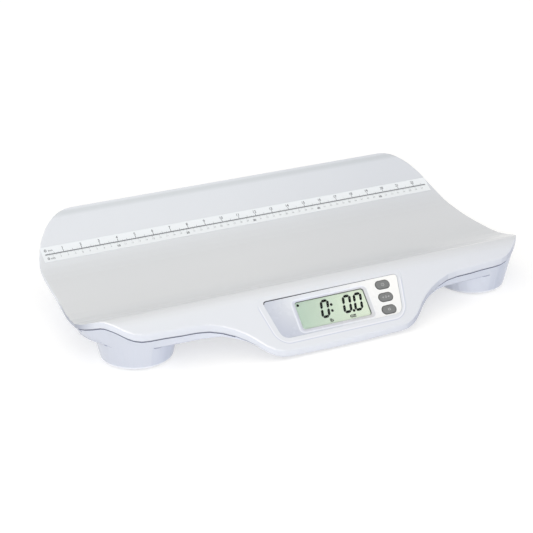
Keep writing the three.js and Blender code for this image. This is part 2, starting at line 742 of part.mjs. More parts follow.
function riseAt(i) {
  const wall = Math.max(baseTops[i] - floorHeight(baseOutline[i].y) - BASE_DRAFT, BASE_DRAFT);
  return Math.min(roundAt(i), wall);
}

function tongueTop(s, i) {
  return Math.min(baseTops[i] + TONGUE_HEIGHT, surfaceHeight(s) - skinDrop(s) - half(PARTING_GAP));
}

function innerSlope(s, i) {
  return Math.min(innerFloor(s) + riseAt(i), tongueTop(s, i) - BASE_DRAFT);
}

function makeBaseShell() {
  const outline = baseOutline;
  const rings = [
    ring(outline, (i) => baseInner + leanAt(i) + roundAt(i), innerFloor),
    ring(outline, (i) => baseInner + leanAt(i), innerSlope),
    ring(outline, baseInner - BASE_DRAFT, tongueTop),
    ring(outline, TONGUE_STEP, tongueTop),
    ring(outline, TONGUE_STEP, topAt),
    ring(outline, 0, topAt),
  ];
  for (let k = 0; k <= ROUND_STEPS; k++) {
    const turn = (half(Math.PI) * k) / ROUND_STEPS;
    rings.push(
      ring(
        outline,
        (i) => BASE_DRAFT + leanAt(i) + roundAt(i) * (1 - Math.cos(turn)),
        (s, i) => floorHeight(s) + riseAt(i) * (1 - Math.sin(turn)),
      ),
    );
  }
  return shellThrough(rings);
}

const feet = [
  ["front", frontFootX, FRONT_FOOT_SETBACK],
  ["rear", endX - REAR_FOOT_INSET, TRAY_DEPTH - REAR_FOOT_BACK_INSET],
].flatMap(([row, x, s]) => [
  { name: row + "_left", x: -x, y: depthToY(s) },
  { name: row + "_right", x, y: depthToY(s) },
]);

const cupFloorHigh = CUP_CLEARANCE + CUP_FLOOR;
const plugHole = FOOT_RADIUS + SLIDE_GAP;

// Battery bay, from the door upwards
const flatRoom = CONTACT_THICKNESS + 2 * SEAT_GAP;
const rowLength = 2 * (CELL_LENGTH + CELL_NUB) + SEAT_GAP;
const bayWidth = rowLength + SPRING_ROOM + flatRoom;
const bayDepth = BAY_ROWS * 2 * CELL_RADIUS + (BAY_ROWS + 1) * BAY_ROW_GAP;
const bayY = depthToY(BAY_SETBACK) + half(bayDepth);
const doorHigh = BELLY_HEIGHT + DOOR_THICKNESS;
const bayLow = doorHigh + SEAT_GAP;
const cellZ = bayLow + SEAT_GAP + CELL_RADIUS;
const bayHigh = cellZ + CELL_RADIUS + SEAT_GAP;
const doorWidth = bayWidth + 2 * DOOR_SIDE_LEDGE;
const doorDepth = bayDepth + 2 * DOOR_LEDGE;
const ledgeHigh = bayLow + BELLY_WALL;
const hookX = half(bayWidth) + BAY_WALL + SLIDE_GAP + HOOK_THICKNESS;
const hooks = [
  [-1, -1],
  [-1, 1],
  [1, -1],
  [1, 1],
].map(([side, end]) => ({ x: side * hookX, y: bayY + end * HOOK_SPREAD }));

// The front cups run on up to the parting line where the base's rounded rim would leave them
// standing out, and end at its upright outline and its inside.
function cupFronts() {
  const band = shellThrough([
    ring(baseOutline, baseInner, topAt),
    ring(baseOutline, 0, topAt),
    ring(baseOutline, BASE_DRAFT, (s, i) => floorHeight(s) + riseAt(i)),
    ring(baseOutline, BASE_DRAFT, floorHeight),
  ]);
  const inside = shellThrough([
    ring(baseOutline, baseInner, () => ridgeHeight),
    ring(baseOutline, (i) => baseInner + leanAt(i), innerSlope),
    ring(baseOutline, (i) => baseInner + leanAt(i) + roundAt(i), innerFloor),
  ]);
  const profile = [
    [0, FLOOR_HEIGHT],
    [cupRadiusAt(FLOOR_HEIGHT), FLOOR_HEIGHT],
    [cupRadiusAt(ridgeHeight), ridgeHeight],
    [0, ridgeHeight],
  ];
  const cones = feet
    .filter(({ name }) => name.startsWith("front"))
    .map(({ x, y }) => solidOf(turned(profile, CUP_SIDES).translate(x, y, 0)));
  return cones[0].add(cones[1]).intersect(band).subtract(inside);
}

function makeBase() {
  let base = makeBaseShell();
  const bellyY = depthToY(BELLY_SETBACK) + half(BELLY_DEPTH);
  const belly = (inset, low, high, bevel) => {
    const cut = inset + bevel;
    const shape = roundedRect(2 * (bellyHalfWidth - cut), BELLY_DEPTH - 2 * cut, BELLY_CORNER - inset);
    const steps = 2 * CORNER_STEPS;
    const geometry = bevel ? bevelled(shape, low, high, bevel, steps) : slab(shape, low, high, steps);
    return solidOf(geometry.translate(0, bellyY, 0));
  };
  // The belly ends inside the floor's thickness, which slopes up behind the nose.
  const [front, back] = [BELLY_SETBACK - OVERRUN, BELLY_SETBACK + BELLY_DEPTH + OVERRUN];
  const flat = NOSE_FLOOR_SETBACK + NOSE_FLOOR_RUN;
  const top = [back, flat, front].map((s) => [s, floorHeight(s) + half(FLOOR)]);
  const below = BELLY_HEIGHT - OVERRUN;
  const wedge = acrossSolid([[front, below], [back, below], ...top], 2 * (bellyHalfWidth + OVERRUN));
  base = base.add(belly(0, BELLY_HEIGHT, FLOOR_HEIGHT + FLOOR + BELLY_BEVEL, BELLY_BEVEL).intersect(wedge));
  for (const { x, y } of feet) {
    const high = FLOOR_HEIGHT + half(FLOOR);
    const cup = turned(
      [
        [0, CUP_CLEARANCE],
        [CUP_RADIUS - CUP_EDGE, CUP_CLEARANCE],
        [cupRadiusAt(CUP_CLEARANCE + CUP_EDGE), CUP_CLEARANCE + CUP_EDGE],
        [cupRadiusAt(high), high],
        [0, high],
      ],
      CUP_SIDES,
    );
    base = base.add(solidOf(cup.translate(x, y, 0)));
  }
  base = base.add(cupFronts());
  for (const [x, y] of screwPlaces) {
    base = base.add(solidOf(rod(BOSS_RADIUS, FLOOR_HEIGHT + half(FLOOR), bossHigh).translate(x, y, 0)));
  }

  // Open insides of the belly and of each cup
  base = base.subtract(belly(BELLY_WALL, BELLY_HEIGHT + BELLY_WALL, FLOOR_HEIGHT + FLOOR + OVERRUN, 0));
  for (const { x, y } of feet) {
    const high = FLOOR_HEIGHT + FLOOR + half(OVERRUN);
    const hollow = turned(
      [
        [0, cupFloorHigh],
        [cupRadiusAt(cupFloorHigh) - CUP_WALL, cupFloorHigh],
        [cupRadiusAt(high) - CUP_WALL, high],
        [0, high],
      ],
      CUP_SIDES,
    );
    base = base.subtract(solidOf(hollow.translate(x, y, 0)));
    const hole = rod(plugHole, CUP_CLEARANCE - OVERRUN, cupFloorHigh + OVERRUN, FOOT_SIDES);
    base = base.subtract(solidOf(hole.translate(x, y, 0)));
  }

  // Bay walls stand on the belly's floor, round an opening that the door closes.
  const [sides, wallLow] = [2 * BAY_WALL, BELLY_HEIGHT + half(BELLY_WALL)];
  const slideDepth = doorDepth + DOOR_TRAVEL;
  const slideY = bayY + half(DOOR_TRAVEL);
  const bayBox = block(bayWidth + sides, bayDepth + sides, wallLow, bayHigh + BAY_WALL);
  const ledgeBox = block(doorWidth + sides, slideDepth + sides, wallLow, ledgeHigh);
  const recessShape = roundedRect(doorWidth + 2 * SLIDE_GAP, slideDepth + 2 * SLIDE_GAP, DOOR_CORNER);
  base = base.add(solidOf(bayBox.translate(0, bayY, 0)));
  base = base.add(solidOf(ledgeBox.translate(0, slideY, 0)));
  base = base.subtract(solidOf(slab(recessShape, BELLY_HEIGHT - OVERRUN, bayLow).translate(0, slideY, 0)));
  base = base.subtract(solidOf(block(bayWidth, bayDepth, BELLY_HEIGHT, bayHigh).translate(0, bayY, 0)));
  for (const { x, y } of hooks) {
    const slotDepth = HOOK_WIDTH + DOOR_TRAVEL + 2 * SLIDE_GAP;
    const slot = block(HOOK_THICKNESS + 2 * SLIDE_GAP, slotDepth, BELLY_HEIGHT, ledgeHigh + OVERRUN);
    base = base.subtract(solidOf(slot.translate(x, y + half(DOOR_TRAVEL), 0)));
  }
  for (const [x, y] of screwPlaces) {
    const seat = rod(SCREW_HEAD_RADIUS + SEAT_GAP, FLOOR_HEIGHT - OVERRUN, headHigh + SEAT_GAP);
    const hole = rod(SCREW_RADIUS + SEAT_GAP, FLOOR_HEIGHT, bossHigh + OVERRUN);
    base = base.subtract(solidOf(seat.translate(x, y, 0))).subtract(solidOf(hole.translate(x, y, 0)));
  }
  return base;
}

// A strip laid on the sloping wall, following its bends
function makeTape() {
  const run = half(TAPE_WIDTH) * Math.cos(WALL_ANGLE);
  const middle = TRAY_DEPTH - TAPE_BACK_INSET;
  const [low, high] = [middle - run, middle + run];
  const inside = surface.map((p) => p.x).filter((s) => s > low && s < high);
  const stations = [low, ...inside, high];
  const edge = (lift) => stations.map((s) => [s, surfaceHeight(s) + TAPE_GAP + lift]);
  return acrossSolid([...edge(0), ...edge(TAPE_THICKNESS).reverse()], TRAY_LENGTH - 2 * TAPE_END_INSET);
}

// The pieces from here to the keys are drawn in the panel's frame. The fascia slopes down
// to the window all round, in a ring that reaches through the ledge.
function makeFascia() {
  const low = -(FASCIA_DEPTH + FASCIA_THICKNESS);
  const through = [surroundLow - OVERRUN, OVERRUN];
  const slope = new THREE.ExtrudeGeometry(around(windowWidth, WINDOW_HEIGHT, 0, WINDOW_CORNER), {
    depth: OVERRUN,
    bevelSize: SURROUND_MARGIN,
    bevelThickness: SURROUND_DEPTH,
    bevelSegments: 1,
    curveSegments: half(CORNER_STEPS),
  });
  let plate = solidOf(fasciaSlab(-FASCIA_GAP, low, -FASCIA_DEPTH));
  plate = plate.add(solidOf(windowSlab(SURROUND_RING, surroundLow, -FASCIA_DEPTH)));
  plate = plate.subtract(solidOf(slope.translate(windowX, WINDOW_CENTRE_V, -FASCIA_DEPTH)));
  plate = plate.subtract(solidOf(windowSlab(0, ...through)));
  for (const place of keyPlaces) plate = plate.subtract(solidOf(keySlab(place, SLIDE_GAP, ...through)));
  return plate;
}

function makeWindow() {
  return solidOf(windowSlab(WINDOW_REST, windowHigh - WINDOW_THICKNESS, windowHigh));
}

// Two glass plates: the back one reaches past the front one to carry the contacts.
function makeLcd() {
  const [width, height] = [windowWidth + 2 * LCD_MARGIN, WINDOW_HEIGHT + 2 * LCD_MARGIN];
  const between = lcdTop - LCD_GLASS;
  const front = solidOf(block(width, height - LCD_LEDGE, between, lcdTop).translate(0, half(LCD_LEDGE), 0));
  const back = solidOf(block(width, height, lcdLow, between));
  return front.add(back).translate([windowX, WINDOW_CENTRE_V, 0]);
}

// A frame round the glass, with a lip behind it
function makeLcdFrame() {
  const [lipLow, lipHigh] = [lcdLow - SEAT_GAP - LCD_FRAME_LIP, lcdLow - SEAT_GAP];
  const outer = windowSlab(LCD_MARGIN + SEAT_GAP + LCD_FRAME_WALL, lipLow, stackTop, 0);
  const pocket = windowSlab(LCD_MARGIN + SEAT_GAP, lipHigh, stackTop + OVERRUN, 0);
  const opening = windowSlab(LCD_MARGIN - LCD_FRAME_WALL, lipLow - OVERRUN, stackTop, 0);
  return solidOf(outer).subtract(solidOf(pocket)).subtract(solidOf(opening));
}

// The circuit board behind the display, with its chip and a socket for each load cell
function makeBoard() {
  const [left, right] = [windowLeft - BOARD_LEFT_MARGIN, fasciaEnd - BOARD_RIGHT_INSET];
  const low = boardTop - BOARD_THICKNESS;
  const within = low + half(BOARD_THICKNESS);
  const plate = slab(roundedRect(right - left, BOARD_TOP - BOARD_BOTTOM, BOARD_CORNER), low, boardTop);
  plate.translate(half(left + right), half(BOARD_TOP + BOARD_BOTTOM), 0);
  let board = solidOf(plate).add(solidOf(block(CHIP_SIZE, CHIP_SIZE, low - CHIP_HEIGHT, within)));
  feet.forEach((_, i) => {
    const x = (i - half(feet.length - 1)) * SOCKET_PITCH;
    const socket = block(SOCKET_WIDTH, SOCKET_DEPTH, low - SOCKET_HEIGHT, within);
    board = board.add(solidOf(socket.translate(x, BOARD_TOP - SOCKET_DEPTH, 0)));
  });
  return board;
}

// A thin rubber mat with a low dome under each key, just clear of it when it is pressed
function makeKeyMat() {
  const [low, high] = [boardTop + SEAT_GAP, boardTop + SEAT_GAP + MAT_THICKNESS];
  const top = stackTop - KEY_FLANGE_THICKNESS - KEY_TRAVEL - DOME_GAP;
  const width = KEY_WIDTH + 2 * (KEY_SLANT + MAT_MARGIN);
  const height = KEY_HEIGHT + 2 * (KEY_PITCH + KEY_FLANGE);
  let mat = solidOf(slab(roundedRect(width, height, MAT_MARGIN), low, high).translate(keyX, KEY_V, 0));
  const dome = turned([[0, low], [DOME_RADIUS, low], [DOME_RADIUS, high], [DOME_TOP_RADIUS, top], [0, top]]);
  for (const { x, v } of keyPlaces) mat = mat.add(solidOf(dome.clone().translate(x, v, 0)));
  return mat;
}

// A crowned oval key with a flange that keeps it behind the ledge
function makeKey() {
  const high = KEY_PROUD - FASCIA_DEPTH;
  const flangeLow = stackTop - KEY_FLANGE_THICKNESS;
  const middle = { x: 0, v: 0 };
  const crowned = solidOf(bevelled(keyShape(-KEY_CROWN), flangeLow - KEY_CROWN, high, KEY_CROWN, KEY_STEPS));
  const within = stackTop - half(KEY_FLANGE_THICKNESS);
  const above = solidOf(keySlab(middle, OVERRUN, within, high + OVERRUN));
  return crowned.intersect(above).add(solidOf(keySlab(middle, KEY_FLANGE, flangeLow, stackTop)));
}

// The foot and the load cell over it, seen from the cup's axis
const padHigh = FOOT_PAD_HEIGHT;
const plugLow = padHigh + SEAT_GAP;
const flangeHigh = plugLow + PLUG_FLANGE;
const stemHigh = flangeHigh + PLUG_STEM;
const loadCellLow = stemHigh + SEAT_GAP;
const loadCellHigh = loadCellLow + CELL_THICKNESS;

function makePad() {
  const chamfer = [FOOT_RADIUS - FOOT_PAD_CHAMFER, 0];
  const edge = [FOOT_RADIUS, FOOT_PAD_CHAMFER];
  return solidOf(turned([[0, 0], chamfer, edge, [FOOT_RADIUS, padHigh], [0, padHigh]], FOOT_SIDES));
}

function makePlug() {
  const flange = [[0, plugLow], [PLUG_RADIUS, plugLow], [PLUG_RADIUS, flangeHigh]];
  const stem = [[PLUG_STEM_RADIUS, flangeHigh], [PLUG_STEM_RADIUS, stemHigh], [0, stemHigh]];
  return solidOf(turned([...flange, ...stem], FOOT_SIDES));
}

// A stamped plate whose tongue bends in its frame
function makeLoadCell() {
  const shape = roundedRect(CELL_SIZE, CELL_SIZE, CELL_CORNER);
  const w = half(CELL_SIZE) - CELL_FRAME;
  const t = w - CELL_SLOT;
  const slot = [[-w, -w], [-w, w], [w, w], [w, -w], [t, -w], [t, t], [-t, t], [-t, -w]];
  shape.holes.push(new THREE.Path(slot.map(([x, y]) => new THREE.Vector2(x, y))));
  return solidOf(slab(shape, loadCellLow, loadCellHigh));
}

// A round plate over the load cell, with a square rim that stands on the cup's floor
function makeHolder() {
  const room = CELL_SIZE + 2 * SEAT_GAP;
  const rim = room + 2 * HOLDER_RIM;
  const [low, plateLow] = [cupFloorHigh + SEAT_GAP, loadCellHigh + SEAT_GAP];
  const plate = solidOf(rod(HOLDER_RADIUS, plateLow, plateLow + HOLDER_PLATE, FOOT_SIDES));
  const square = solidOf(slab(roundedRect(rim, rim, CELL_CORNER), low, plateLow + half(HOLDER_PLATE)));
  const hollow = solidOf(slab(roundedRect(room, room, CELL_CORNER), low - OVERRUN, plateLow));
  return plate.add(square).subtract(hollow);
}

// The two rows of cells: the nubs of the front row point right and those of the rear row left.
const rows = [
  { name: "front", turn: half(Math.PI), y: bayY - CELL_RADIUS - half(BAY_ROW_GAP) },
  { name: "rear", turn: -half(Math.PI), y: bayY + CELL_RADIUS + half(BAY_ROW_GAP) },
];
const cellSpan = CELL_LENGTH + CELL_NUB;

// One round cell, standing on its flat end
function makeBattery() {
  const can = [[0, 0], [CELL_RADIUS, 0], [CELL_RADIUS, CELL_LENGTH]];
  const nub = [[CELL_NUB_RADIUS, CELL_LENGTH], [CELL_NUB_RADIUS, cellSpan], [0, cellSpan]];
  return solidOf(turned([...can, ...nub], CELL_SIDES));
}

// A conical coil that runs from a contact plate towards the cell
function coil(x, y, direction) {
  const reach = SPRING_ROOM - 2 * SEAT_GAP - half(CONTACT_THICKNESS) - half(SPRING_WIRE);
  const steps = SPRING_TURNS * SPRING_TURN_STEPS;
  const points = [];
  for (let i = 0; i <= steps; i++) {
    const share = i / steps;
    const turn = 2 * Math.PI * SPRING_TURNS * share;
    const radius = mix(SPRING_RADIUS, SPRING_END_RADIUS, share);
    const [across, up] = [radius * Math.cos(turn), radius * Math.sin(turn)];
    points.push(new THREE.Vector3(x + direction * reach * share, y + across, cellZ + up));
  }
  const section = new THREE.Shape();
  section.absarc(0, 0, half(SPRING_WIRE), 0, 2 * Math.PI);
  const extrudePath = new THREE.CatmullRomCurve3(points);
  const options = { extrudePath, steps, curveSegments: half(SPRING_SIDES) };
  return solidOf(new THREE.ExtrudeGeometry(section, options));
}

// A contact plate at one end of the bay, from y = low to y = high; side is -1 at the left
function makeContact(side, low, high) {
  const x = side * (half(bayWidth) - SEAT_GAP - half(CONTACT_THICKNESS));
  const reach = half(CONTACT_HEIGHT);
  const plate = block(CONTACT_THICKNESS, high - low, cellZ - reach, cellZ + reach);
  return { x, plate: solidOf(plate.translate(x, half(low + high), 0)) };
}

function makeSpringContact(side, low, high, springY) {
  const { x, plate } = makeContact(side, low, high);
  return plate.add(coil(x, springY, -side));
}

// The sliding door: a plate with four hooks above and finger ribs below
function makeDoor() {
  const shape = roundedRect(doorWidth, doorDepth, DOOR_CORNER);
  let door = solidOf(slab(shape, BELLY_HEIGHT, doorHigh).translate(0, bayY, 0));
  const [toeLow, toeHigh] = [ledgeHigh + SLIDE_GAP, ledgeHigh + SLIDE_GAP + HOOK_THICKNESS];
  for (const { x, y } of hooks) {
    const post = block(HOOK_THICKNESS, HOOK_WIDTH, doorHigh - half(DOOR_THICKNESS), toeHigh);
    const toe = block(HOOK_THICKNESS, HOOK_WIDTH + HOOK_REACH, toeLow, toeHigh);
    door = door.add(solidOf(post.translate(x, y, 0))).add(solidOf(toe.translate(x, y - half(HOOK_REACH), 0)));
  }
  for (let i = 0; i < GRIP_RIBS; i++) {
    const y = bayY - half(doorDepth) + GRIP_SETBACK + GRIP_RIB_PITCH * i;
    const [low, high] = [BELLY_HEIGHT - GRIP_RIB_HEIGHT, BELLY_HEIGHT + GRIP_RIB_HEIGHT];
    const rib = block(GRIP_RIB_LENGTH, GRIP_RIB_WIDTH, low, high);
    door = door.add(solidOf(rib.translate(0, y, 0)));
  }
  return door;
}

function makeScrew() {
  const head = [[0, headLow], [SCREW_HEAD_RADIUS, headLow], [SCREW_HEAD_RADIUS, headHigh]];
  const shank = [[SCREW_RADIUS, headHigh], [SCREW_RADIUS, screwTip], [0, screwTip]];
  return solidOf(turned([...head, ...shank]));
}

addNode("tray_shell", makeTray(), white);
addNode("base_shell", makeBase(), baseWhite);
addNode("measuring_tape", makeTape(), tapeWhite);

const panel = new THREE.Group();
panel.applyMatrix4(panelFrame);
scale.add(panel);
addNode("display_fascia", makeFascia(), panelGrey, panel);
addNode("display_window", makeWindow(), clear, panel);
addNode("lcd_panel", makeLcd(), lcdGreen, panel);
addNode("lcd_frame", makeLcdFrame(), innerWhite, panel);
addNode("display_board", makeBoard(), boardGreen, panel);
addNode("key_mat", makeKeyMat(), rubberGrey, panel);
for (const { name, x, v } of keyPlaces) addNode(name, makeKey(), keyGrey, panel).position.set(x, v, 0);

for (const { name, x, y } of feet) {
  const foot = new THREE.Group();
  foot.position.set(x, y, 0);
  scale.add(foot);
  addNode("foot_pad_" + name, makePad(), rubberGrey, foot);
  addNode("foot_plug_" + name, makePlug(), innerWhite, foot);
  addNode("load_cell_" + name, makeLoadCell(), steel, foot);
  addNode("cell_holder_" + name, makeHolder(), innerWhite, foot);
}

// Each row starts at its spring, and each cell's flat end faces that way.
for (const { name, turn, y } of rows) {
  const direction = Math.sign(turn);
  ["spring_end", "nub_end"].forEach((end, i) => {
    const battery = addNode("battery_" + name + "_" + end, makeBattery(), cellSleeve);
    const start = SPRING_ROOM - half(bayWidth) + i * (cellSpan + SEAT_GAP);
    battery.rotation.y = turn;
    battery.position.set(direction * start, y, cellZ);
  });
}
const [frontRow, rearRow] = rows;
const [bayFront, bayRear] = [bayY - half(bayDepth) + SEAT_GAP, bayY + half(bayDepth) - SEAT_GAP];
addNode("battery_contact_bridge", makeSpringContact(-1, bayFront, bayRear, frontRow.y), steel);
addNode("battery_contact_negative", makeSpringContact(1, bayY + BAY_ROW_GAP, bayRear, rearRow.y), steel);
addNode("battery_contact_positive", makeContact(1, bayFront, bayY - BAY_ROW_GAP).plate, steel);
addNode("battery_door", makeDoor(), baseWhite);

screwPlaces.forEach(([x, y], i) => {
  addNode("housing_screw_" + (i + 1), makeScrew(), steel).position.set(x, y, 0);
});

export default scale;
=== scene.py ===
# Baby scale: the finish of its tray, base, tape, display and keys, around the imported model.
import json
import math

import bmesh
import bpy
from mathutils import Matrix, Vector
from mathutils.bvhtree import BVHTree

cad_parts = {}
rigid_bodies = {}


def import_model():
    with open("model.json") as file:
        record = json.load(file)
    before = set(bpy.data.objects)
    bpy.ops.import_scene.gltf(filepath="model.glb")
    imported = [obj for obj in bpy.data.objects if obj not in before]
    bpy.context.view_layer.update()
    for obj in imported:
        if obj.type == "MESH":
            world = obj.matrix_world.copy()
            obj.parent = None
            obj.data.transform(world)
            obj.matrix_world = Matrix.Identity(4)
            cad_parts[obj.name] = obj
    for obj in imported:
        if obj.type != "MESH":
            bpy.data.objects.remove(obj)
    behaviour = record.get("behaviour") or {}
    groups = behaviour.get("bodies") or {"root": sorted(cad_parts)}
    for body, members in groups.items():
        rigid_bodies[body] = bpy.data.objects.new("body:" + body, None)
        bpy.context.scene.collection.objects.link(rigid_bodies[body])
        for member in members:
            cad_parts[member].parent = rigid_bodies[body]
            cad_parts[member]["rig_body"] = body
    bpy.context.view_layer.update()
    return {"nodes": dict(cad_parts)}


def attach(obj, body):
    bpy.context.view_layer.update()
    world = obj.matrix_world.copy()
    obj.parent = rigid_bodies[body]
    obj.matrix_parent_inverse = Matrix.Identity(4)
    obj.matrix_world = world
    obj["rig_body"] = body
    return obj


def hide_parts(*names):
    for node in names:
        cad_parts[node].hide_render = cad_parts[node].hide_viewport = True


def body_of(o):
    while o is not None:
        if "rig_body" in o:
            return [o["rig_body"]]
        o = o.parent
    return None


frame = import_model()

MM = 0.001

# The tray's ridge runs along X at this Y
RIDGE = -0.0967

# The display panel's frame: X across, Y up the slope, Z out of the apron
PANEL_ORIGIN = Vector((0, -0.132, 0.0464975))
PANEL_SLOPE = math.radians(44)
PANEL = Matrix.Translation(PANEL_ORIGIN) @ Matrix.Rotation(PANEL_SLOPE, 4, "X")
INTO_PANEL = PANEL.inverted()
PANEL_UP = PANEL.to_3x3() @ Vector((0, 1, 0))


# Shader nodes
def rgba(colour):
    return (*colour, 1.0)


def fill(tree, node, inputs):
    """Sets or joins a node's inputs, each by name or number."""
    for name, value in dict(inputs).items():
        if isinstance(value, bpy.types.NodeSocket):
            tree.links.new(value, node.inputs[name])
        else:
            node.inputs[name].default_value = value


def put(tree, kind, inputs=(), **settings):
    """Adds a node with its settings, and fills its inputs."""
    node = tree.nodes.new("ShaderNode" + kind)
    for name, value in settings.items():
        setattr(node, name, value)
    fill(tree, node, inputs)
    return node


def maths(tree, operation, *values, clamp=False):
    inputs = dict(enumerate(values))
    return put(tree, "Math", inputs, operation=operation, use_clamp=clamp).outputs[0]


def product(tree, value, *others):
    for other in others:
        value = maths(tree, "MULTIPLY", value, other)
    return value


def span(tree, value, low, high, to_low=0.0, to_high=1.0, smooth=False):
    """A value's share of the way from low to high, between two other values."""
    inputs = {
        "Value": value, "From Min": low, "From Max": high, "To Min": to_low, "To Max": to_high,
    }
    kind = "SMOOTHSTEP" if smooth else "LINEAR"
    return put(tree, "MapRange", inputs, interpolation_type=kind).outputs["Result"]


def noise(tree, where, scale, detail, roughness=0.5):
    inputs = {"Vector": where, "Scale": scale, "Detail": detail, "Roughness": roughness}
    return put(tree, "TexNoise", inputs).outputs["Fac"]


def object_place(tree):
    return put(tree, "TexCoord").outputs["Object"]


def surface_normal(tree):
    return put(tree, "NewGeometry").outputs["Normal"]


def split(tree, vector):
    """A vector's three parts, by number or by X, Y and Z."""
    return put(tree, "SeparateXYZ", {0: vector}).outputs


def dot(tree, vector, way):
    """How far a vector goes along a fixed way."""
    inputs = {0: vector, 1: way}
    return put(tree, "VectorMath", inputs, operation="DOT_PRODUCT").outputs["Value"]


def scaled(tree, colour, factor):
    inputs = {0: colour, "Scale": factor}
    return put(tree, "VectorMath", inputs, operation="SCALE").outputs["Vector"]


def blend_colour(tree, share, first, second, mode="MIX"):
    """Socket numbers 6 and 7 are a Mix node's two colours, and output 2 is its result."""
    inputs = {0: share, 6: first, 7: second}
    return put(tree, "Mix", inputs, data_type="RGBA", blend_type=mode).outputs[2]


def shaded(tree, tone, share, shade):
    """A tone times a shade, as far as the share goes."""
    return blend_colour(tree, share, tone, rgba(shade), mode="MULTIPLY")


def mixed(tree, tone, share, other):
    """A tone on its way to another, as far as the share goes."""
    return blend_colour(tree, share, tone, rgba(other))


def height_in_panel(tree, place):
    """How far up the display panel's slope a place lies."""
    return maths(tree, "SUBTRACT", dot(tree, place, PANEL_UP), PANEL_ORIGIN.dot(PANEL_UP))


def rounded_mask(tree, across, up, outline):
    """One inside a rounded rectangle, fading to nought over its edge.

    The outline is its middle, size, corner and softness, in millimetres."""
    middle, size, corner, soft = outline
    parts = []
    for value, centre, length in zip((across, up), middle, size):
        off = maths(tree, "ABSOLUTE", maths(tree, "SUBTRACT", value, centre * MM))
        straight = (length / 2 - corner) * MM
        over = maths(tree, "MAXIMUM", maths(tree, "SUBTRACT", off, straight), 0.0)
        parts.append(maths(tree, "POWER", over, 2.0))
    distance = maths(tree, "SQRT", maths(tree, "ADD", *parts))
    edge = (corner - soft) * MM, (corner + soft) * MM
    return span(tree, distance, *edge, to_low=1.0, to_high=0.0, smooth=True)


# Node groups that several materials share
def new_group(name, inputs, outputs):
    """A shader node group with named sockets; an input is given as its kind and usual value."""
    group = bpy.data.node_groups.new(name, "ShaderNodeTree")
    for label, (kind, usual) in inputs.items():
        socket = group.interface.new_socket(label, in_out="INPUT", socket_type="NodeSocket" + kind)
        socket.default_value = usual
    for label, kind in outputs.items():
        group.interface.new_socket(label, in_out="OUTPUT", socket_type="NodeSocket" + kind)
    given = group.nodes.new("NodeGroupInput").outputs
    return group, given, group.nodes.new("NodeGroupOutput")


def moulded_grain():
    """Moulded plastic: a fine grain in height and gloss, and a broad drift in tone."""
    inputs = {
        "Colour": ("Color", rgba((0.8, 0.8, 0.8))),
        "Drift": ("Float", 0.02),
        "Grain": ("Float", 1500.0),
        "Roughness": ("Float", 0.4),
        "Spread": ("Float", 0.05),
    }
    outputs = {"Colour": "Color", "Roughness": "Float", "Height": "Float"}
    group, given, result = new_group("moulded_grain", inputs, outputs)
    where = object_place(group)
    broad = noise(group, where, scale=7.0, detail=3.0)
    fine = noise(group, where, scale=given["Grain"], detail=2.0, roughness=0.6)
    tone = maths(group, "MULTIPLY_ADD", maths(group, "SUBTRACT", broad, 0.5), given["Drift"], 1.0)
    centred = maths(group, "SUBTRACT", maths(group, "ADD", broad, fine), 1.0)
    gloss = maths(group, "MULTIPLY_ADD", centred, given["Spread"], given["Roughness"])
    colour = scaled(group, given["Colour"], tone)
    fill(group, result, {"Colour": colour, "Roughness": gloss, "Height": fine})
    return group


# Smears are patches, broken up by fine grooves; each noise fades in between two values
SMEAR_EDGE = (0.48, 0.72)
GROOVE_EDGE = (0.3, 0.7)
GROOVE_SCALE = 2600.0


def handling():
    """Faint smears left by hands, as a mask."""
    inputs = {"Scale": ("Float", 30.0), "Amount": ("Float", 0.5)}
    group, given, result = new_group("handling", inputs, {"Mask": "Float"})
    where = object_place(group)
    patches = noise(group, where, scale=given["Scale"], detail=3.0, roughness=0.6)
    grooves = noise(group, where, scale=GROOVE_SCALE, detail=1.0)
    mask = product(
        group,
        span(group, patches, *SMEAR_EDGE),
        span(group, grooves, *GROOVE_EDGE, to_low=0.5),
        given["Amount"],
    )
    fill(group, result, {"Mask": mask})
    return group


# The flanks that face away from the light: right, forward and a little down
FLANK_SIDE = Vector((0.9, -0.35, -0.25)).normalized()
FLANK_TURN = (0.35, 0.95)
FLANK_STEEP = (0.6, 0.2)


def flank_shade():
    """Paints shade on the steep faces that look towards the flank side, away from the light."""
    inputs = {
        "Colour": ("Color", rgba((0.8, 0.8, 0.8))),
        "Shade": ("Color", rgba((0.6, 0.6, 0.7))),
    }
    group, given, result = new_group("flank_shade", inputs, {"Colour": "Color"})
    normal = surface_normal(group)
    turned = span(group, dot(group, normal, FLANK_SIDE), *FLANK_TURN)
    steep = span(group, split(group, normal)["Z"], *FLANK_STEEP)
    share = product(group, turned, steep)
    tone = blend_colour(group, share, given["Colour"], given["Shade"], mode="MULTIPLY")
    fill(group, result, {"Colour": tone})
    return group


GRAIN = moulded_grain()
HANDLING = handling()
FLANK = flank_shade()


# Materials
COAT_ROUGHNESS = 0.18
GRAIN_DEPTH = 0.05 * MM
PRINT_DEPTH = 0.03 * MM


def use_group(tree, group, **inputs):
    return put(tree, "Group", inputs, node_tree=group).outputs


def new_material(name):
    """A material with a Principled shader on its output."""
    material = bpy.data.materials.new(name)
    material.use_nodes = True
    tree = material.node_tree
    tree.nodes.clear()
    shader = put(tree, "BsdfPrincipled")
    output = put(tree, "OutputMaterial", {"Surface": shader.outputs["BSDF"]})
    return material, tree, shader, output


def bump(tree, shader, height, strength, depth):
    inputs = {"Height": height, "Strength": strength, "Distance": depth}
    fill(tree, shader, {"Normal": put(tree, "Bump", inputs).outputs["Normal"]})


def grained(tree, colour, drift, grain, roughness, spread):
    """What the grain group makes of a colour and a finish's values."""
    return use_group(
        tree, GRAIN,
        Colour=colour, Drift=drift, Grain=grain, Roughness=roughness, Spread=spread,
    )


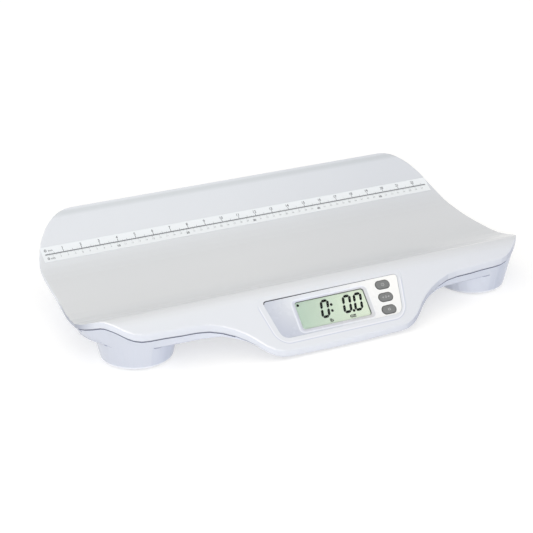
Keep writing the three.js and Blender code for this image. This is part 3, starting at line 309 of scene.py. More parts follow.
def smeared(tree, roughness, scale, amount):
    """A roughness with faint smears on it."""
    mask = use_group(tree, HANDLING, Scale=scale, Amount=amount)["Mask"]
    return maths(tree, "ADD", mask, roughness)


def moulded(
    name, colour, drift, grain, roughness, spread, strength,
    coat=0.0, metallic=0.0, flank=None, painted_light=None,
):
    """One of the plastics, rubbers or metals, from the grain group and its own values."""
    material, tree, shader, _ = new_material(name)
    made = grained(tree, rgba(colour), drift, grain, roughness, spread)
    tone = made["Colour"]
    # flank and painted_light paint shade and highlight into the colour
    if flank:
        tone = use_group(tree, FLANK, Colour=tone, Shade=rgba(flank))["Colour"]
    if painted_light:
        tone = painted_light(tree, tone)
    inputs = {
        "Base Color": tone,
        "Roughness": made["Roughness"],
        "Metallic": metallic,
        "Coat Weight": coat,
        "Coat Roughness": COAT_ROUGHNESS,
    }
    fill(tree, shader, inputs)
    bump(tree, shader, made["Height"], strength, depth=GRAIN_DEPTH)
    return material


# Painted shade and painted highlight of a shallow step round the fascia, which is not modelled, as
# outlines for rounded_mask; it widens up the panel by the taper, per metre, and shows below
# STEP_LOW and in front of the ridge
STEP_SHADE = ((0, -7), (199.2, 68.0), 18.6, 0.5)
STEP_GLOW = ((0, -7), (196.8, 65.6), 17.4, 0.5)
STEP_INSIDE = ((0, -7), (193.2, 62.0), 15.6, 0.5)
STEP_TAPER = 2.26
STEP_LOW = (0.016, 0.008)
STEP_FRONT = (RIDGE, RIDGE - 0.004)
STEP_DARK = (0.8, 0.82, 0.9)
STEP_PALE = (0.86, 0.87, 0.91)


def step_rings(tree):
    """Masks of the step's painted shadow line and of the painted highlight line inside it."""
    place = object_place(tree)
    x, y, _ = split(tree, place)
    up = height_in_panel(tree, place)
    across = maths(tree, "DIVIDE", x, maths(tree, "MULTIPLY_ADD", up, STEP_TAPER, 1.0))
    shade, glow, inside = [
        rounded_mask(tree, across, up, outline) for outline in (STEP_SHADE, STEP_GLOW, STEP_INSIDE)
    ]
    shown = product(tree, span(tree, up, *STEP_LOW), span(tree, y, *STEP_FRONT))
    dark = product(tree, maths(tree, "SUBTRACT", shade, glow, clamp=True), shown)
    pale = product(tree, maths(tree, "SUBTRACT", glow, inside, clamp=True), shown)
    return dark, pale


# The tray's painted shade and painted highlight: where each begins and is full, by place in metres
# or by the normal, and its shade or tone
BED_START = (RIDGE + 0.002, RIDGE + 0.006)
BED_END = (RIDGE + 0.02, RIDGE + 0.16)
BED_LENGTH = (-0.1, 0.3)
BED_SHADE = (0.9, 0.91, 0.91)
RIGHT_PART = (-0.05, 0.25)
RIGHT_SHADE = (0.94, 0.94, 0.95)
WALL_FACE = (0.04, 0.11)
WALL_LENGTH = (-0.3, 0.3)
WALL_SHADE = (0.92, 0.93, 0.93)
BRIM_FOOT = (0.099, 0.1025)
BRIM_TOP = (0.1065, 0.1045)
BRIM_SHADE = (0.86, 0.87, 0.86)
LEFT_TURN = (-0.3, -0.7)
LEFT_BACK = (0.03, -0.01)
LEFT_FRONT = (-0.09, -0.06)
LEFT_END = (-0.18, -0.2)
LEFT_SHADE = (0.4, 0.42, 0.5)
HIGHLIGHT_SIDE = Vector((-0.5, -0.65, 0.5)).normalized()
HIGHLIGHT_TURN = (0.87, 0.96)
HIGHLIGHT_TONE = (0.97, 0.97, 0.98)


def tray_tint(tree, tone):
    """Painted shade: greyer behind the ridge, up the wall and to the right, and dark on the left
    end's rim; a painted highlight on edges turned to the light.
    """
    x, y, z = split(tree, object_place(tree))
    normal = surface_normal(tree)
    bed = product(
        tree,
        span(tree, y, *BED_START, smooth=True),
        span(tree, y, *BED_END, to_low=1.0, to_high=0.0),
        span(tree, x, *BED_LENGTH, to_low=0.15),
    )
    right = span(tree, x, *RIGHT_PART)
    wall = product(
        tree,
        span(tree, y, *WALL_FACE),
        span(tree, x, *WALL_LENGTH, to_low=0.5, to_high=0.6),
    )
    brim = product(tree, span(tree, z, *BRIM_FOOT), span(tree, z, *BRIM_TOP))
    left = product(
        tree,
        span(tree, split(tree, normal)["X"], *LEFT_TURN),
        span(tree, y, *LEFT_BACK),
        span(tree, y, *LEFT_FRONT),
        span(tree, x, *LEFT_END),
    )
    tone = shaded(tree, tone, bed, BED_SHADE)
    tone = shaded(tree, tone, right, RIGHT_SHADE)
    tone = shaded(tree, tone, wall, WALL_SHADE)
    tone = shaded(tree, tone, brim, BRIM_SHADE)
    tone = shaded(tree, tone, left, LEFT_SHADE)
    # Painted highlight on faces turned towards the key light
    tone = mixed(tree, tone, span(tree, dot(tree, normal, HIGHLIGHT_SIDE), *HIGHLIGHT_TURN), HIGHLIGHT_TONE)
    dark, pale = step_rings(tree)
    return mixed(tree, shaded(tree, tone, dark, STEP_DARK), pale, STEP_PALE)


# The base's painted shade and painted highlight, given as the tray's are
BASE_LEFT = (-0.17, -0.27)
BASE_LEFT_SHADE = (0.88, 0.88, 0.88)
BASE_RIGHT = (0.1, 0.2)
BASE_RIGHT_TURN = (-0.5, 0.3)
BASE_RIGHT_SHADE = (0.79, 0.8, 0.82)
FOOT_HIGHLIGHT = (0.0058, 0.0048)
FOOT_HIGHLIGHT_TONE = (0.93, 0.94, 0.95)


def base_tint(tree, tone):
    """Painted shade, deeper towards both ends, with a painted highlight ring at the foot of the
    cups.
    """
    x, _, z = split(tree, object_place(tree))
    turned = split(tree, surface_normal(tree))["X"]
    right = product(tree, span(tree, x, *BASE_RIGHT), span(tree, turned, *BASE_RIGHT_TURN))
    tone = shaded(tree, tone, span(tree, x, *BASE_LEFT), BASE_LEFT_SHADE)
    tone = shaded(tree, tone, right, BASE_RIGHT_SHADE)
    return mixed(tree, tone, span(tree, z, *FOOT_HIGHLIGHT), FOOT_HIGHLIGHT_TONE)


TAPE_TONE = (0.86, 0.89, 0.91)


def film():
    """The tape's white film, a little smeared."""
    material, tree, shader, _ = new_material("tape_white")
    made = grained(tree, rgba(TAPE_TONE), drift=0.02, grain=2400.0, roughness=0.3, spread=0.06)
    roughness = smeared(tree, made["Roughness"], scale=25.0, amount=0.12)
    fill(tree, shader, {"Base Color": made["Colour"], "Roughness": roughness})
    bump(tree, shader, made["Height"], strength=0.1, depth=PRINT_DEPTH)
    return material


# The fascia's tones and where they change, in metres: a painted reflection, bluish grey at the
# left, warm at the right and darker low down; the surround's painted shade and the painted
# highlight line round it are outlines for rounded_mask
FASCIA_LEFT = (-0.095, -0.045)
FASCIA_RIGHT = (-0.03, 0.09)
FASCIA_LOW = (-0.034, 0.006)
FASCIA_LOW_LENGTH = (-0.06, 0.05)
FASCIA_BLUISH = (0.58, 0.61, 0.68)
FASCIA_PALE = (0.78, 0.8, 0.83)
FASCIA_WARM = (0.97, 0.965, 0.93)
FASCIA_LOW_TONE = (0.52, 0.55, 0.64)
SURROUND_HIGHLIGHT = ((-4.0, -9.0), (107.4, 45.0), 7.0, 1.0)
SURROUND_HIGHLIGHT_TONE = (0.88, 0.9, 0.94)
SURROUND_SHADE = ((-3.6, -9.1), (106.0, 43.0), 5.5, 0.6)
SURROUND_SHADE_LENGTH = (-0.05, 0.04)
SURROUND_SHADE_LEFT = (0.7, 0.72, 0.8)
SURROUND_SHADE_RIGHT = (0.66, 0.665, 0.685)


def fascia_print():
    """A grey plate with a painted reflection, bluish grey at its left, paler round the display and
    warm at the keys; painted shade on the surround and a painted highlight round it.
    """
    material, tree, shader, _ = new_material("panel_grey")
    place = object_place(tree)
    across = split(tree, place)["X"]
    up = height_in_panel(tree, place)
    left = span(tree, across, *FASCIA_LEFT, smooth=True)
    right = span(tree, across, *FASCIA_RIGHT, smooth=True)
    low = product(
        tree,
        span(tree, up, *FASCIA_LOW, to_low=0.85, to_high=0.0),
        span(tree, across, *FASCIA_LOW_LENGTH, to_low=1.0, to_high=0.15),
    )
    tone = blend_colour(tree, left, rgba(FASCIA_BLUISH), rgba(FASCIA_PALE))
    tone = mixed(tree, tone, right, FASCIA_WARM)
    tone = mixed(tree, tone, low, FASCIA_LOW_TONE)
    tone = mixed(tree, tone, rounded_mask(tree, across, up, SURROUND_HIGHLIGHT), SURROUND_HIGHLIGHT_TONE)
    along = span(tree, across, *SURROUND_SHADE_LENGTH)
    surround_shade = blend_colour(tree, along, rgba(SURROUND_SHADE_LEFT), rgba(SURROUND_SHADE_RIGHT))
    tone = blend_colour(tree, rounded_mask(tree, across, up, SURROUND_SHADE), tone, surround_shade)
    made = grained(tree, tone, drift=0.02, grain=2200.0, roughness=0.26, spread=0.05)
    inputs = {
        "Base Color": made["Colour"],
        "Roughness": smeared(tree, made["Roughness"], scale=40.0, amount=0.1),
        "Coat Weight": 0.2,
        "Coat Roughness": 0.08,
    }
    fill(tree, shader, inputs)
    bump(tree, shader, made["Height"], strength=0.08, depth=PRINT_DEPTH)
    return material


def clear_window():
    """Clear plastic with faint smears; light passes straight through it to the display."""
    material, tree, shader, output = new_material("window_clear")
    inputs = {
        "Base Color": rgba((0.97, 0.985, 0.98)),
        "Transmission Weight": 1.0,
        "IOR": 1.15,
        "Roughness": smeared(tree, 0.02, scale=60.0, amount=0.08),
    }
    fill(tree, shader, inputs)
    through = put(tree, "BsdfTransparent")
    shadow = put(tree, "LightPath").outputs["Is Shadow Ray"]
    both = put(tree, "MixShader", {0: shadow, 1: shader.outputs[0], 2: through.outputs[0]})
    fill(tree, output, {"Surface": both.outputs[0]})
    return material


# The display's pale green from its left end to its right end, in metres, and its sparkle
SPARKLE_EDGE = (0.35, 0.65)
GLASS_LENGTH = (-0.05, 0.045)
GLASS_LEFT = (0.41, 0.515, 0.42)
GLASS_RIGHT = (0.67, 0.73, 0.585)


def display_glass():
    """The display's reflector behind its glass: pale green, lighter towards the right."""
    material, tree, shader, _ = new_material("lcd_glass")
    place = object_place(tree)
    share = span(tree, split(tree, place)["X"], *GLASS_LENGTH)
    tone = blend_colour(tree, share, rgba(GLASS_LEFT), rgba(GLASS_RIGHT))
    grains = noise(tree, place, scale=5200.0, detail=1.0)
    sparkle = span(tree, grains, *SPARKLE_EDGE, to_low=0.96, to_high=1.04)
    roughness = smeared(tree, 0.22, scale=50.0, amount=0.05)
    fill(tree, shader, {"Base Color": scaled(tree, tone, sparkle), "Roughness": roughness})
    return material


# Tracks are the borders of cells, this many to a metre, and fade out in shares of a cell
TRACK_SCALE = 260.0
TRACK_EDGE = (0.03, 0.06)
TRACK_GREEN = (0.03, 0.26, 0.1)
BOARD_GREEN = (0.012, 0.14, 0.05)


def circuit_board():
    """Green solder mask with lighter tracks under it."""
    material, tree, shader, _ = new_material("board_green")
    inputs = {"Vector": object_place(tree), "Scale": TRACK_SCALE}
    cells = put(tree, "TexVoronoi", inputs, feature="DISTANCE_TO_EDGE").outputs["Distance"]
    tracks = span(tree, cells, *TRACK_EDGE, to_low=1.0, to_high=0.0)
    tone = blend_colour(tree, tracks, rgba(BOARD_GREEN), rgba(TRACK_GREEN))
    made = grained(tree, tone, drift=0.1, grain=1500.0, roughness=0.35, spread=0.1)
    fill(tree, shader, {"Base Color": made["Colour"], "Roughness": made["Roughness"]})
    bump(tree, shader, tracks, strength=0.3, depth=GRAIN_DEPTH)
    return material


def ink(name, colour, roughness, shine=0.5):
    """A printed or switched-on mark, or a painted shadow, a little uneven in its tone."""
    material, tree, shader, _ = new_material(name)
    made = grained(tree, rgba(colour), drift=0.3, grain=3000.0, roughness=roughness, spread=0.1)
    inputs = {
        "Base Color": made["Colour"],
        "Roughness": made["Roughness"],
        "Specular IOR Level": shine,
    }
    fill(tree, shader, inputs)
    return material


# Name, colour, drift in tone, grain per metre, roughness, its spread, strength of the grain
tray_white = moulded(
    "tray_white", (0.765, 0.785, 0.815), 0.03, 1300, 0.4, 0.06, 0.25,
    coat=0.8, flank=(0.5, 0.53, 0.64), painted_light=tray_tint,
)
base_white = moulded(
    "base_white", (0.765, 0.79, 0.84), 0.03, 1300, 0.42, 0.06, 0.25,
    coat=0.8, flank=(0.84, 0.87, 0.96), painted_light=base_tint,
)
inner_white = moulded("inner_white", (0.68, 0.69, 0.71), 0.05, 900, 0.5, 0.08, 0.3)
mat_rubber = moulded("mat_rubber", (0.33, 0.34, 0.35), 0.08, 900, 0.7, 0.1, 0.4)
foot_rubber = moulded("foot_rubber", (0.3, 0.31, 0.32), 0.1, 700, 0.75, 0.1, 0.5)
key_grey = moulded("key_grey", (0.2, 0.205, 0.2), 0.1, 1600, 0.55, 0.12, 0.5)
steel = moulded("steel", (0.62, 0.63, 0.65), 0.08, 500, 0.3, 0.12, 0.3, metallic=1.0)
cell_sleeve = moulded("cell_sleeve", (0.05, 0.055, 0.06), 0.1, 600, 0.35, 0.08, 0.2, coat=0.5)
tape_white = film()
panel_grey = fascia_print()
window_clear = clear_window()
lcd_glass = display_glass()
board_green = circuit_board()
tape_ink = ink("tape_ink", (0.13, 0.14, 0.15), 0.5)
tape_grey = ink("tape_grey", (0.34, 0.36, 0.37), 0.5)
display_ink = ink("display_ink", (0.004, 0.005, 0.004), 0.6, shine=0.1)
opening_shadow_ink = ink("opening_shadow_ink", (0.1, 0.115, 0.1), 0.5, shine=0.2)
seam_shade = ink("seam_shade", (0.05, 0.05, 0.06), 0.7, shine=0.2)
parting_shade = ink("parting_shade", (0.12, 0.13, 0.19), 0.7, shine=0.1)
crease_shade = ink("crease_shade", (0.32, 0.34, 0.43), 0.7, shine=0.1)
key_ink = ink("key_ink", (0.5, 0.51, 0.5), 0.5)
key_shade = ink("key_shade", (0.09, 0.095, 0.09), 0.6, shine=0.2)

# The finish of the nodes whose names start with each of these, the first that fits
FINISH = {
    "tray_shell": tray_white,
    "base_shell": base_white,
    "measuring_tape": tape_white,
    "display_fascia": panel_grey,
    "display_window": window_clear,
    "lcd_panel": lcd_glass,
    "lcd_frame": inner_white,
    "display_board": board_green,
    "key_mat": mat_rubber,
    "button": key_grey,
    "foot_pad": foot_rubber,
    "foot_plug": inner_white,
    "load_cell": steel,
    "cell_holder": inner_white,
    "battery_contact": steel,
    "battery_door": base_white,
    "battery": cell_sleeve,
    "housing_screw": steel,
}


def finish_of(node):
    return next(material for start, material in FINISH.items() if node.startswith(start))


for name, node in frame["nodes"].items():
    node.data.materials.clear()
    node.data.materials.append(finish_of(name))


# Pieces
def add_mesh(name, work, material):
    """Makes an object at the origin from a bmesh whose place is already right."""
    mesh = bpy.data.meshes.new(name)
    work.to_mesh(mesh)
    work.free()
    mesh.materials.append(material)
    made = bpy.data.objects.new(name, mesh)
    bpy.context.scene.collection.objects.link(made)
    return made


def new_piece(name, work, material, body):
    piece = add_mesh(name, work, material)
    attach(piece, body)
    return piece


def in_panel(point):
    return INTO_PANEL @ point


def cut(work, place, normal, near):
    """Cuts a mesh by a plane; a vertex as near as this counts as lying in it."""
    everything = [*work.verts, *work.edges, *work.faces]
    bmesh.ops.bisect_plane(work, geom=everything, plane_co=place, plane_no=normal, dist=near)


def cut_across(work, axis, step):
    """Cuts a mesh by even planes square to an axis, so that small faces carry its shading."""
    places = [vert.co[axis] for vert in work.verts]
    low, high = min(places), max(places)
    normal = Vector([float(i == axis) for i in range(3)])
    count = int((high - low) / step)
    for i in range(1, count):
        cut(work, normal * (low + (high - low) * i / count), normal, near=1e-6)


# Dressed copies: vertices nearer than MERGE are one, and edges flatter than FLAT go
MERGE = 0.002 * MM
FLAT = math.radians(0.3)


def merged(node):
    """A node's loose triangles as one mesh, without the edges across its flats."""
    work = bmesh.new()
    work.from_mesh(frame["nodes"][node].data)
    bmesh.ops.remove_doubles(work, verts=work.verts, dist=MERGE)
    bmesh.ops.dissolve_limit(work, angle_limit=FLAT, verts=work.verts, edges=work.edges)
    return work


def dressed(node, crease=38, steps=(), finish=None, flatness=60):
    """A smooth copy of a node that stands for it, rounded in its shading below the crease.

    The steps are axes and distances for cut_across, and finish comes after those cuts. With a
    higher flatness, large faces count for more in the shading of what they meet."""
    work = merged(node)
    for axis, step in steps:
        cut_across(work, axis, step)
    if finish:
        finish(work)
    for face in work.faces:
        face.smooth = True
    for edge in work.edges:
        edge.smooth = edge.calc_face_angle(0.0) < math.radians(crease)
    body = body_of(frame["nodes"][node])[0]
    piece = new_piece(node + "_dressed", work, finish_of(node), body)
    weighted = piece.modifiers.new("even_shading", "WEIGHTED_NORMAL")
    weighted.keep_sharp = True
    weighted.weight = flatness
    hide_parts(node)


# What lies within this of a flat face belongs to it
LEVEL = 0.01 * MM
CROWN_EDGE = 0.8 * MM


def crown(work):
    """Rounds the upper edge of a key."""
    top = max(in_panel(vert.co).z for vert in work.verts)
    upper = {
        face for face in work.faces
        if all(in_panel(vert.co).z > top - LEVEL for vert in face.verts)
    }
    edges = [
        edge for edge in work.edges
        if 0 < sum(face in upper for face in edge.link_faces) < len(edge.link_faces)
    ]
    bmesh.ops.bevel(
        work, geom=edges, offset=CROWN_EDGE, offset_type="OFFSET", segments=3, profile=0.5,
        affect="EDGES", material=-1, clamp_overlap=True,
    )


# The bed is cut from BED_FIRST behind the ridge, BED_STEP apart. Then what lies within BED_REACH
# and BED_HALF, and whose faces are as level as BED_LEVEL, is smoothed.
BED_FIRST = 4 * MM
BED_STEP = 2.5 * MM
BED_CUTS = 16
BED_ROUNDS = 14
BED_REACH = (RIDGE + 3.5 * MM, 0.05)
BED_HALF = 0.29
BED_LEVEL = 0.7


def even_bed(work):
    """Turns the flats of the trough into one curve, between the ridge and the tape."""
    for i in range(BED_CUTS):
        cut(work, (0, RIDGE + BED_FIRST + BED_STEP * i, 0), (0, 1, 0), near=1e-5)
    front, back = BED_REACH
    free = [
        vert for vert in work.verts
        if front < vert.co.y < back and abs(vert.co.x) < BED_HALF
        and all(face.normal.z > BED_LEVEL for face in vert.link_faces)
    ]
    for _ in range(BED_ROUNDS):
        bmesh.ops.smooth_vert(
            work, verts=free, factor=0.5, use_axis_x=False, use_axis_y=True, use_axis_z=True
        )


# Painted shadow: dark strips laid on the base's walls where shade falls under the lip and round the
# front cups.
# Shadow lines on the base. A line stands LINE_OFF off its wall, which is looked at from LOOK_OFF
# in front of it. FRONT_CUPS is where the front cups start: sideways, forwards and upwards. The
# rest are limits for a face's normal, or for a crease's turn, depth and climb.
LINE_OFF = 0.06 * MM
LOOK_OFF = 0.3 * MM
FRONT_CUPS = (0.12, -0.06, 0.008)
WALL_LEAN = 0.35
LEDGE_RISE = 0.6
CREASE_FALL = -0.12
CREASE_TURN = math.radians(12)
CREASE_DEPTH = 0.05 * MM
CREASE_CLIMB = 0.6
BAND_FALL = -0.5


def level_normal(face):
    return Vector((face.normal.x, face.normal.y, 0)).normalized()


def by_front_cup(place):
    x, y, z = FRONT_CUPS
    return abs(place.x) >= x and place.y <= y and place.z >= z


def ledge_wall(edge, middle, low, high):
    """The outer wall below an edge of the upper ledge, under the tray's lip."""
    return low if high.normal.z >= LEDGE_RISE else None


def crease_wall(edge, middle, low, high):
    """A front cup's wall, below an edge at which it meets the underside of the band."""
    climb = abs(edge.verts[0].co.z - edge.verts[1].co.z)
    fits = (
        by_front_cup(middle)
        and low.normal.z <= CREASE_FALL
        and high.calc_center_median().z <= middle.z
        and edge.calc_face_angle() >= CREASE_TURN
        and (low.calc_center_median() - middle).dot(level_normal(high)) >= CREASE_DEPTH
        and climb <= CREASE_CLIMB * edge.calc_length()
    )
    return high if fits else None


def band_wall(edge, middle, low, high):
    """The band's wall, above a lower edge of it."""
    fits = (
        by_front_cup(middle)
        and low.normal.z <= BAND_FALL
        and high.calc_center_median().z >= middle.z
    )
    return high if fits else None


def wall_edges(shell, wall_of, drop, reach):
    """The edges at which a wall is seen from outside, each with the wall's normal.

    The look is taken this far below an edge; with a reach, a face lies so near behind it."""
    tree = BVHTree.FromBMesh(shell)
    found = []
    for edge in shell.edges:
        if len(edge.link_faces) != 2:
            continue
        middle = (edge.verts[0].co + edge.verts[1].co) / 2
        faces = sorted(edge.link_faces, key=lambda face: face.normal.z)
        wall = wall_of(edge, middle, *faces)
        if wall is None or abs(wall.normal.z) > WALL_LEAN:
            continue
        out = level_normal(wall)
        start = middle + out * LOOK_OFF - Vector((0, 0, drop))
        if tree.ray_cast(start, out)[0] is not None:
            continue
        if reach:
            place, _, _, distance = tree.ray_cast(start, -out)
            if place is None or distance >= reach:
                continue
        found.append((edge, wall.normal.copy()))
    return found


def shadow_line(name, wall_of, drop, tall, shade, reach=None):
    """A painted shadow: a dark line on the base's wall, from its edges down, or up where tall is
    below nought.
    """
    shell = merged("base_shell")
    work = bmesh.new()
    placed, normals = {}, {}
    for edge, normal in wall_edges(shell, wall_of, drop, reach):
        for vert in edge.verts:
            if vert.index not in placed:
                placed[vert.index] = work.verts.new(vert.co)
                normals[vert.index] = Vector()
            normals[vert.index] += normal
        work.edges.new([placed[vert.index] for vert in edge.verts])
    shell.free()
    for index, vert in placed.items():
        vert.co += normals[index].normalized() * LINE_OFF
    made = bmesh.ops.extrude_edge_only(work, edges=work.edges)
    low = [part for part in made["geom"] if isinstance(part, bmesh.types.BMVert)]
    bmesh.ops.translate(work, vec=(0, 0, -tall), verts=low)
    bmesh.ops.recalc_face_normals(work, faces=work.faces)
    new_piece(name, work, shade, "scale_body")


# The axes that cut_across takes
X, Y = 0, 1

dressed("tray_shell", crease=50, steps=((X, 12 * MM), (Y, 5 * MM)), finish=even_bed, flatness=50)
shadow_line("parting_shadow", ledge_wall, drop=-0.1 * MM, tall=0.9 * MM, shade=parting_shade)
shadow_line("cup_crease_shadows", crease_wall, drop=0.5 * MM, tall=0.8 * MM, shade=crease_shade)
shadow_line(
    "band_shadow", band_wall, drop=1.5 * MM, tall=-0.7 * MM, shade=crease_shade, reach=30 * MM
)
dressed("base_shell", crease=32, steps=((X, 12 * MM), (Y, 8 * MM)))
dressed("display_fascia", crease=20)
for node in ("display_window", "battery_door", "key_mat"):
    dressed(node)
for node in list(frame["nodes"]):
    if node.startswith("button"):
        dressed(node, finish=crown)
    elif node.startswith(("foot_pad", "foot_plug", "battery_front", "battery_rear")):
        dressed(node)


# Marks: thin plates on a surface, drawn flat first
MARK_OFF = 0.02 * MM
MARK_THICK = 0.03 * MM
SHADE_THICK = 0.02 * MM
FIGURE_THICK = 0.05 * MM


def bar(work, length, stroke, place):
    """A plate with pointed ends along X, as on a display of seven segments."""
    turned = Matrix.Rotation(math.pi / 2, 4, "Z")
    made = bmesh.ops.create_circle(work, cap_ends=True, segments=6, radius=stroke, matrix=turned)
    for vert in made["verts"]:
        tip = abs(vert.co.y) < stroke / 4
        reach = length / 2 if tip else (length - stroke) / 2
        side = 0 if tip else math.copysign(stroke / 2, vert.co.y)
        vert.co = (math.copysign(reach, vert.co.x), side, 0)
    bmesh.ops.transform(work, matrix=place, verts=made["verts"])


def disc(work, radius, x, y):
    place = Matrix.Translation((x, y, 0))
    bmesh.ops.create_circle(work, cap_ends=True, segments=16, radius=radius, matrix=place)


def strip(work, width, height, x, y):
    """A rectangle about a point."""
    place = Matrix.Translation((x, y, 0)) @ Matrix.Diagonal((width / 2, height / 2, 1, 1))
    bmesh.ops.create_grid(work, x_segments=1, y_segments=1, size=1, matrix=place)


def open_ring(work, radius, stroke, x, y, gap):
    """A ring whose gap, in degrees, lies at its top."""
    turn = math.radians(360 - gap)
    start = math.radians(90 + gap / 2)
    ends = [
        work.verts.new((x + r * math.cos(start), y + r * math.sin(start), 0))
        for r in (radius - stroke / 2, radius + stroke / 2)
    ]
    edge = work.edges.new(ends)
    bmesh.ops.spin(
        work, geom=[*ends, edge], cent=(x, y, 0), axis=(0, 0, 1), angle=turn, steps=28,
        use_merge=False,
    )


def hollow(work, width):
    """Leaves only a rim of this width of each face."""
    inner = list(work.faces)
    bmesh.ops.inset_region(
        work, faces=inner, thickness=width, use_even_offset=True, use_boundary=True
    )
    bmesh.ops.delete(work, geom=inner, context="FACES")


# Words and figures already made, by text and weight
letters = {}


def letter(text, weight):
    """A word or figure of the built-in font as a flat mesh, one unit high about its middle."""
    if (text, weight) not in letters:
        curve = bpy.data.curves.new("letter", "FONT")
        curve.body = text
        curve.align_x = "CENTER"
        curve.offset = weight
        holder = bpy.data.objects.new("letter", curve)
        bpy.context.scene.collection.objects.link(holder)
        bpy.context.view_layer.update()
        finished = holder.evaluated_get(bpy.context.evaluated_depsgraph_get())
        mesh = bpy.data.meshes.new_from_object(finished)
        bpy.data.objects.remove(holder)
        high = max(vert.co.y for vert in mesh.vertices)
        mesh.transform(Matrix.Diagonal((1 / high, 1 / high, 1, 1)))
        mesh.transform(Matrix.Translation((0, -0.5, 0)))
        letters[text, weight] = mesh
    return letters[text, weight]


def write(work, text, height, x, y, wide=1.0, weight=0.0):
    mesh = letter(text, weight).copy()
    size = Matrix.Diagonal((height * wide, height, 1, 1))
    mesh.transform(Matrix.Translation((x, y, 0)) @ size)
    work.from_mesh(mesh)
    bpy.data.meshes.remove(mesh)


def thicken(work, lift, thickness):
    """Gives flat marks a thickness, and lifts them off the surface that they lie on."""
    bmesh.ops.remove_doubles(work, verts=work.verts, dist=1e-7)
    for face in work.faces:
        if face.normal.z < 0:
            face.normal_flip()
    made = bmesh.ops.extrude_face_region(work, geom=list(work.faces), use_keep_orig=True)
    raised = [part for part in made["geom"] if isinstance(part, bmesh.types.BMVert)]
    bmesh.ops.translate(work, vec=(0, 0, thickness), verts=raised)
    bmesh.ops.translate(work, vec=(0, 0, lift), verts=work.verts)
    bmesh.ops.recalc_face_normals(work, faces=work.faces)


# The tape's marks, drawn flat and then laid along its upper face; its scale is 578 mm long
MILLIMETRES = 578
TAPE_HALF = MILLIMETRES / 2 * MM
CENTIMETRES = MILLIMETRES // 10
INCH = 25.4 * MM
INCHES = int(2 * TAPE_HALF / INCH)
LINE_WIDTH = 1.3 * MM
LINE_DOWN = 11.4 * MM

# A mark's length and width in millimetres, by the step that it falls on
EIGHTHS = 8 * INCHES + 6
INCH_LENGTHS = {8: 3.8, 4: 2.4, 2: 1.6, 1: 1.0}
INCH_WIDTHS = {8: 0.7, 4: 0.4}
CENTIMETRE_LENGTHS = {10: 2.4, 5: 1.7, 1: 1.0}
CENTIMETRE_WIDTHS = {10: 0.4}
FINE_WIDTH = 0.2

# Figures: height and distance down in millimetres, width and weight
INCH_FIGURE = (3.9, 4.4, 0.95, 0.02)
TEN_FIGURE = (3.4, 17.8, 1.0, 0.03)
FIVE_FIGURE = (2.8, 17.0, 1.0, 0.01)
PLAIN_FIGURE = (2.4, 17.0, 1.0, 0.0)

# At the zero end: text, distance along in millimetres, and the same
ZERO_END = (
    ("0", 1.8, (4.0, 5.2, 1.2, 0.02)),
    ("inch", 8.6, (2.2, 5.8, 1.2, 0.02)),
    ("0", 2.8, (3.8, 18.0, 1.2, 0.02)),
    ("cm", 8.6, (2.0, 18.6, 1.2, 0.02)),
)


def tape_profile():
    """Where the tape's upper face bends, from its upper edge down."""
    heights = {}
    for vert in frame["nodes"]["measuring_tape"].data.vertices:
        y = round(vert.co.y, 6)
        heights[y] = max(heights.get(y, -1), vert.co.z)
    return [Vector((0, y, heights[y])) for y in sorted(heights, reverse=True)]


def lay_on_tape(work):
    """Moves flat marks, with Y measured down from the tape's upper edge, onto its face."""
    points = tape_profile()
    starts = [0.0]
    for a, b in zip(points, points[1:]):
        starts.append(starts[-1] + (b - a).length)
    for start in starts[1:-1]:
        cut(work, (0, -start, 0), (0, 1, 0), near=1e-7)
    for vert in work.verts:
        down = -vert.co.y
        i = max(k for k in range(len(points) - 1) if k == 0 or starts[k] <= down)
        along = (points[i + 1] - points[i]).normalized()
        out = Vector((1, 0, 0)).cross(-along)
        foot = Vector((vert.co.x, 0, 0)) + points[i]
        vert.co = foot + along * (down - starts[i]) + out * vert.co.z


def ticks(work, count, pitch, lengths, widths, start, way):
    """Marks across the tape, each as long and wide as the longest step that it falls on."""
    for i in range(1, count):
        step = next(step for step in sorted(lengths, reverse=True) if i % step == 0)
        length = lengths[step] * MM
        width = widths.get(step, FINE_WIDTH) * MM
        strip(work, width, length, i * pitch - TAPE_HALF, start + way * length / 2)


def tape_text(work, text, along, kind):
    height, down, wide, weight = kind
    write(work, text, height * MM, along - TAPE_HALF, -down * MM, wide, weight)


def tape_piece(name, work, material):
    thicken(work, MARK_OFF, MARK_THICK)
    lay_on_tape(work)
    new_piece(name, work, material, "scale_body")


def tape_lines():
    """The long line and the inch marks over it."""
    work = bmesh.new()
    strip(work, 2 * TAPE_HALF, LINE_WIDTH, 0, -LINE_DOWN)
    start = LINE_WIDTH / 2 - LINE_DOWN
    ticks(work, EIGHTHS, INCH / 8, INCH_LENGTHS, INCH_WIDTHS, start, 1)
    tape_piece("tape_lines", work, tape_ink)


def tape_figures():
    """The inch figures, every tenth centimetre figure and the words at the zero end."""
    work = bmesh.new()
    for i in range(1, INCHES + 1):
        tape_text(work, str(i), i * INCH, INCH_FIGURE)
    for i in range(10, CENTIMETRES + 1, 10):
        tape_text(work, str(i), i * 10 * MM, TEN_FIGURE)
    for text, along, kind in ZERO_END:
        tape_text(work, text, along * MM, kind)
    tape_piece("tape_figures", work, tape_ink)


def tape_centimetres():
    """The centimetre and millimetre marks with their small figures, in a paler grey."""
    work = bmesh.new()
    start = -LINE_DOWN - LINE_WIDTH / 2
    ticks(work, MILLIMETRES + 1, MM, CENTIMETRE_LENGTHS, CENTIMETRE_WIDTHS, start, -1)
    for i in range(1, CENTIMETRES + 1):
        if i % 10:
            kind = FIVE_FIGURE if i % 5 == 0 else PLAIN_FIGURE
            tape_text(work, str(i), i * 10 * MM, kind)
    tape_piece("tape_centimetres", work, tape_grey)


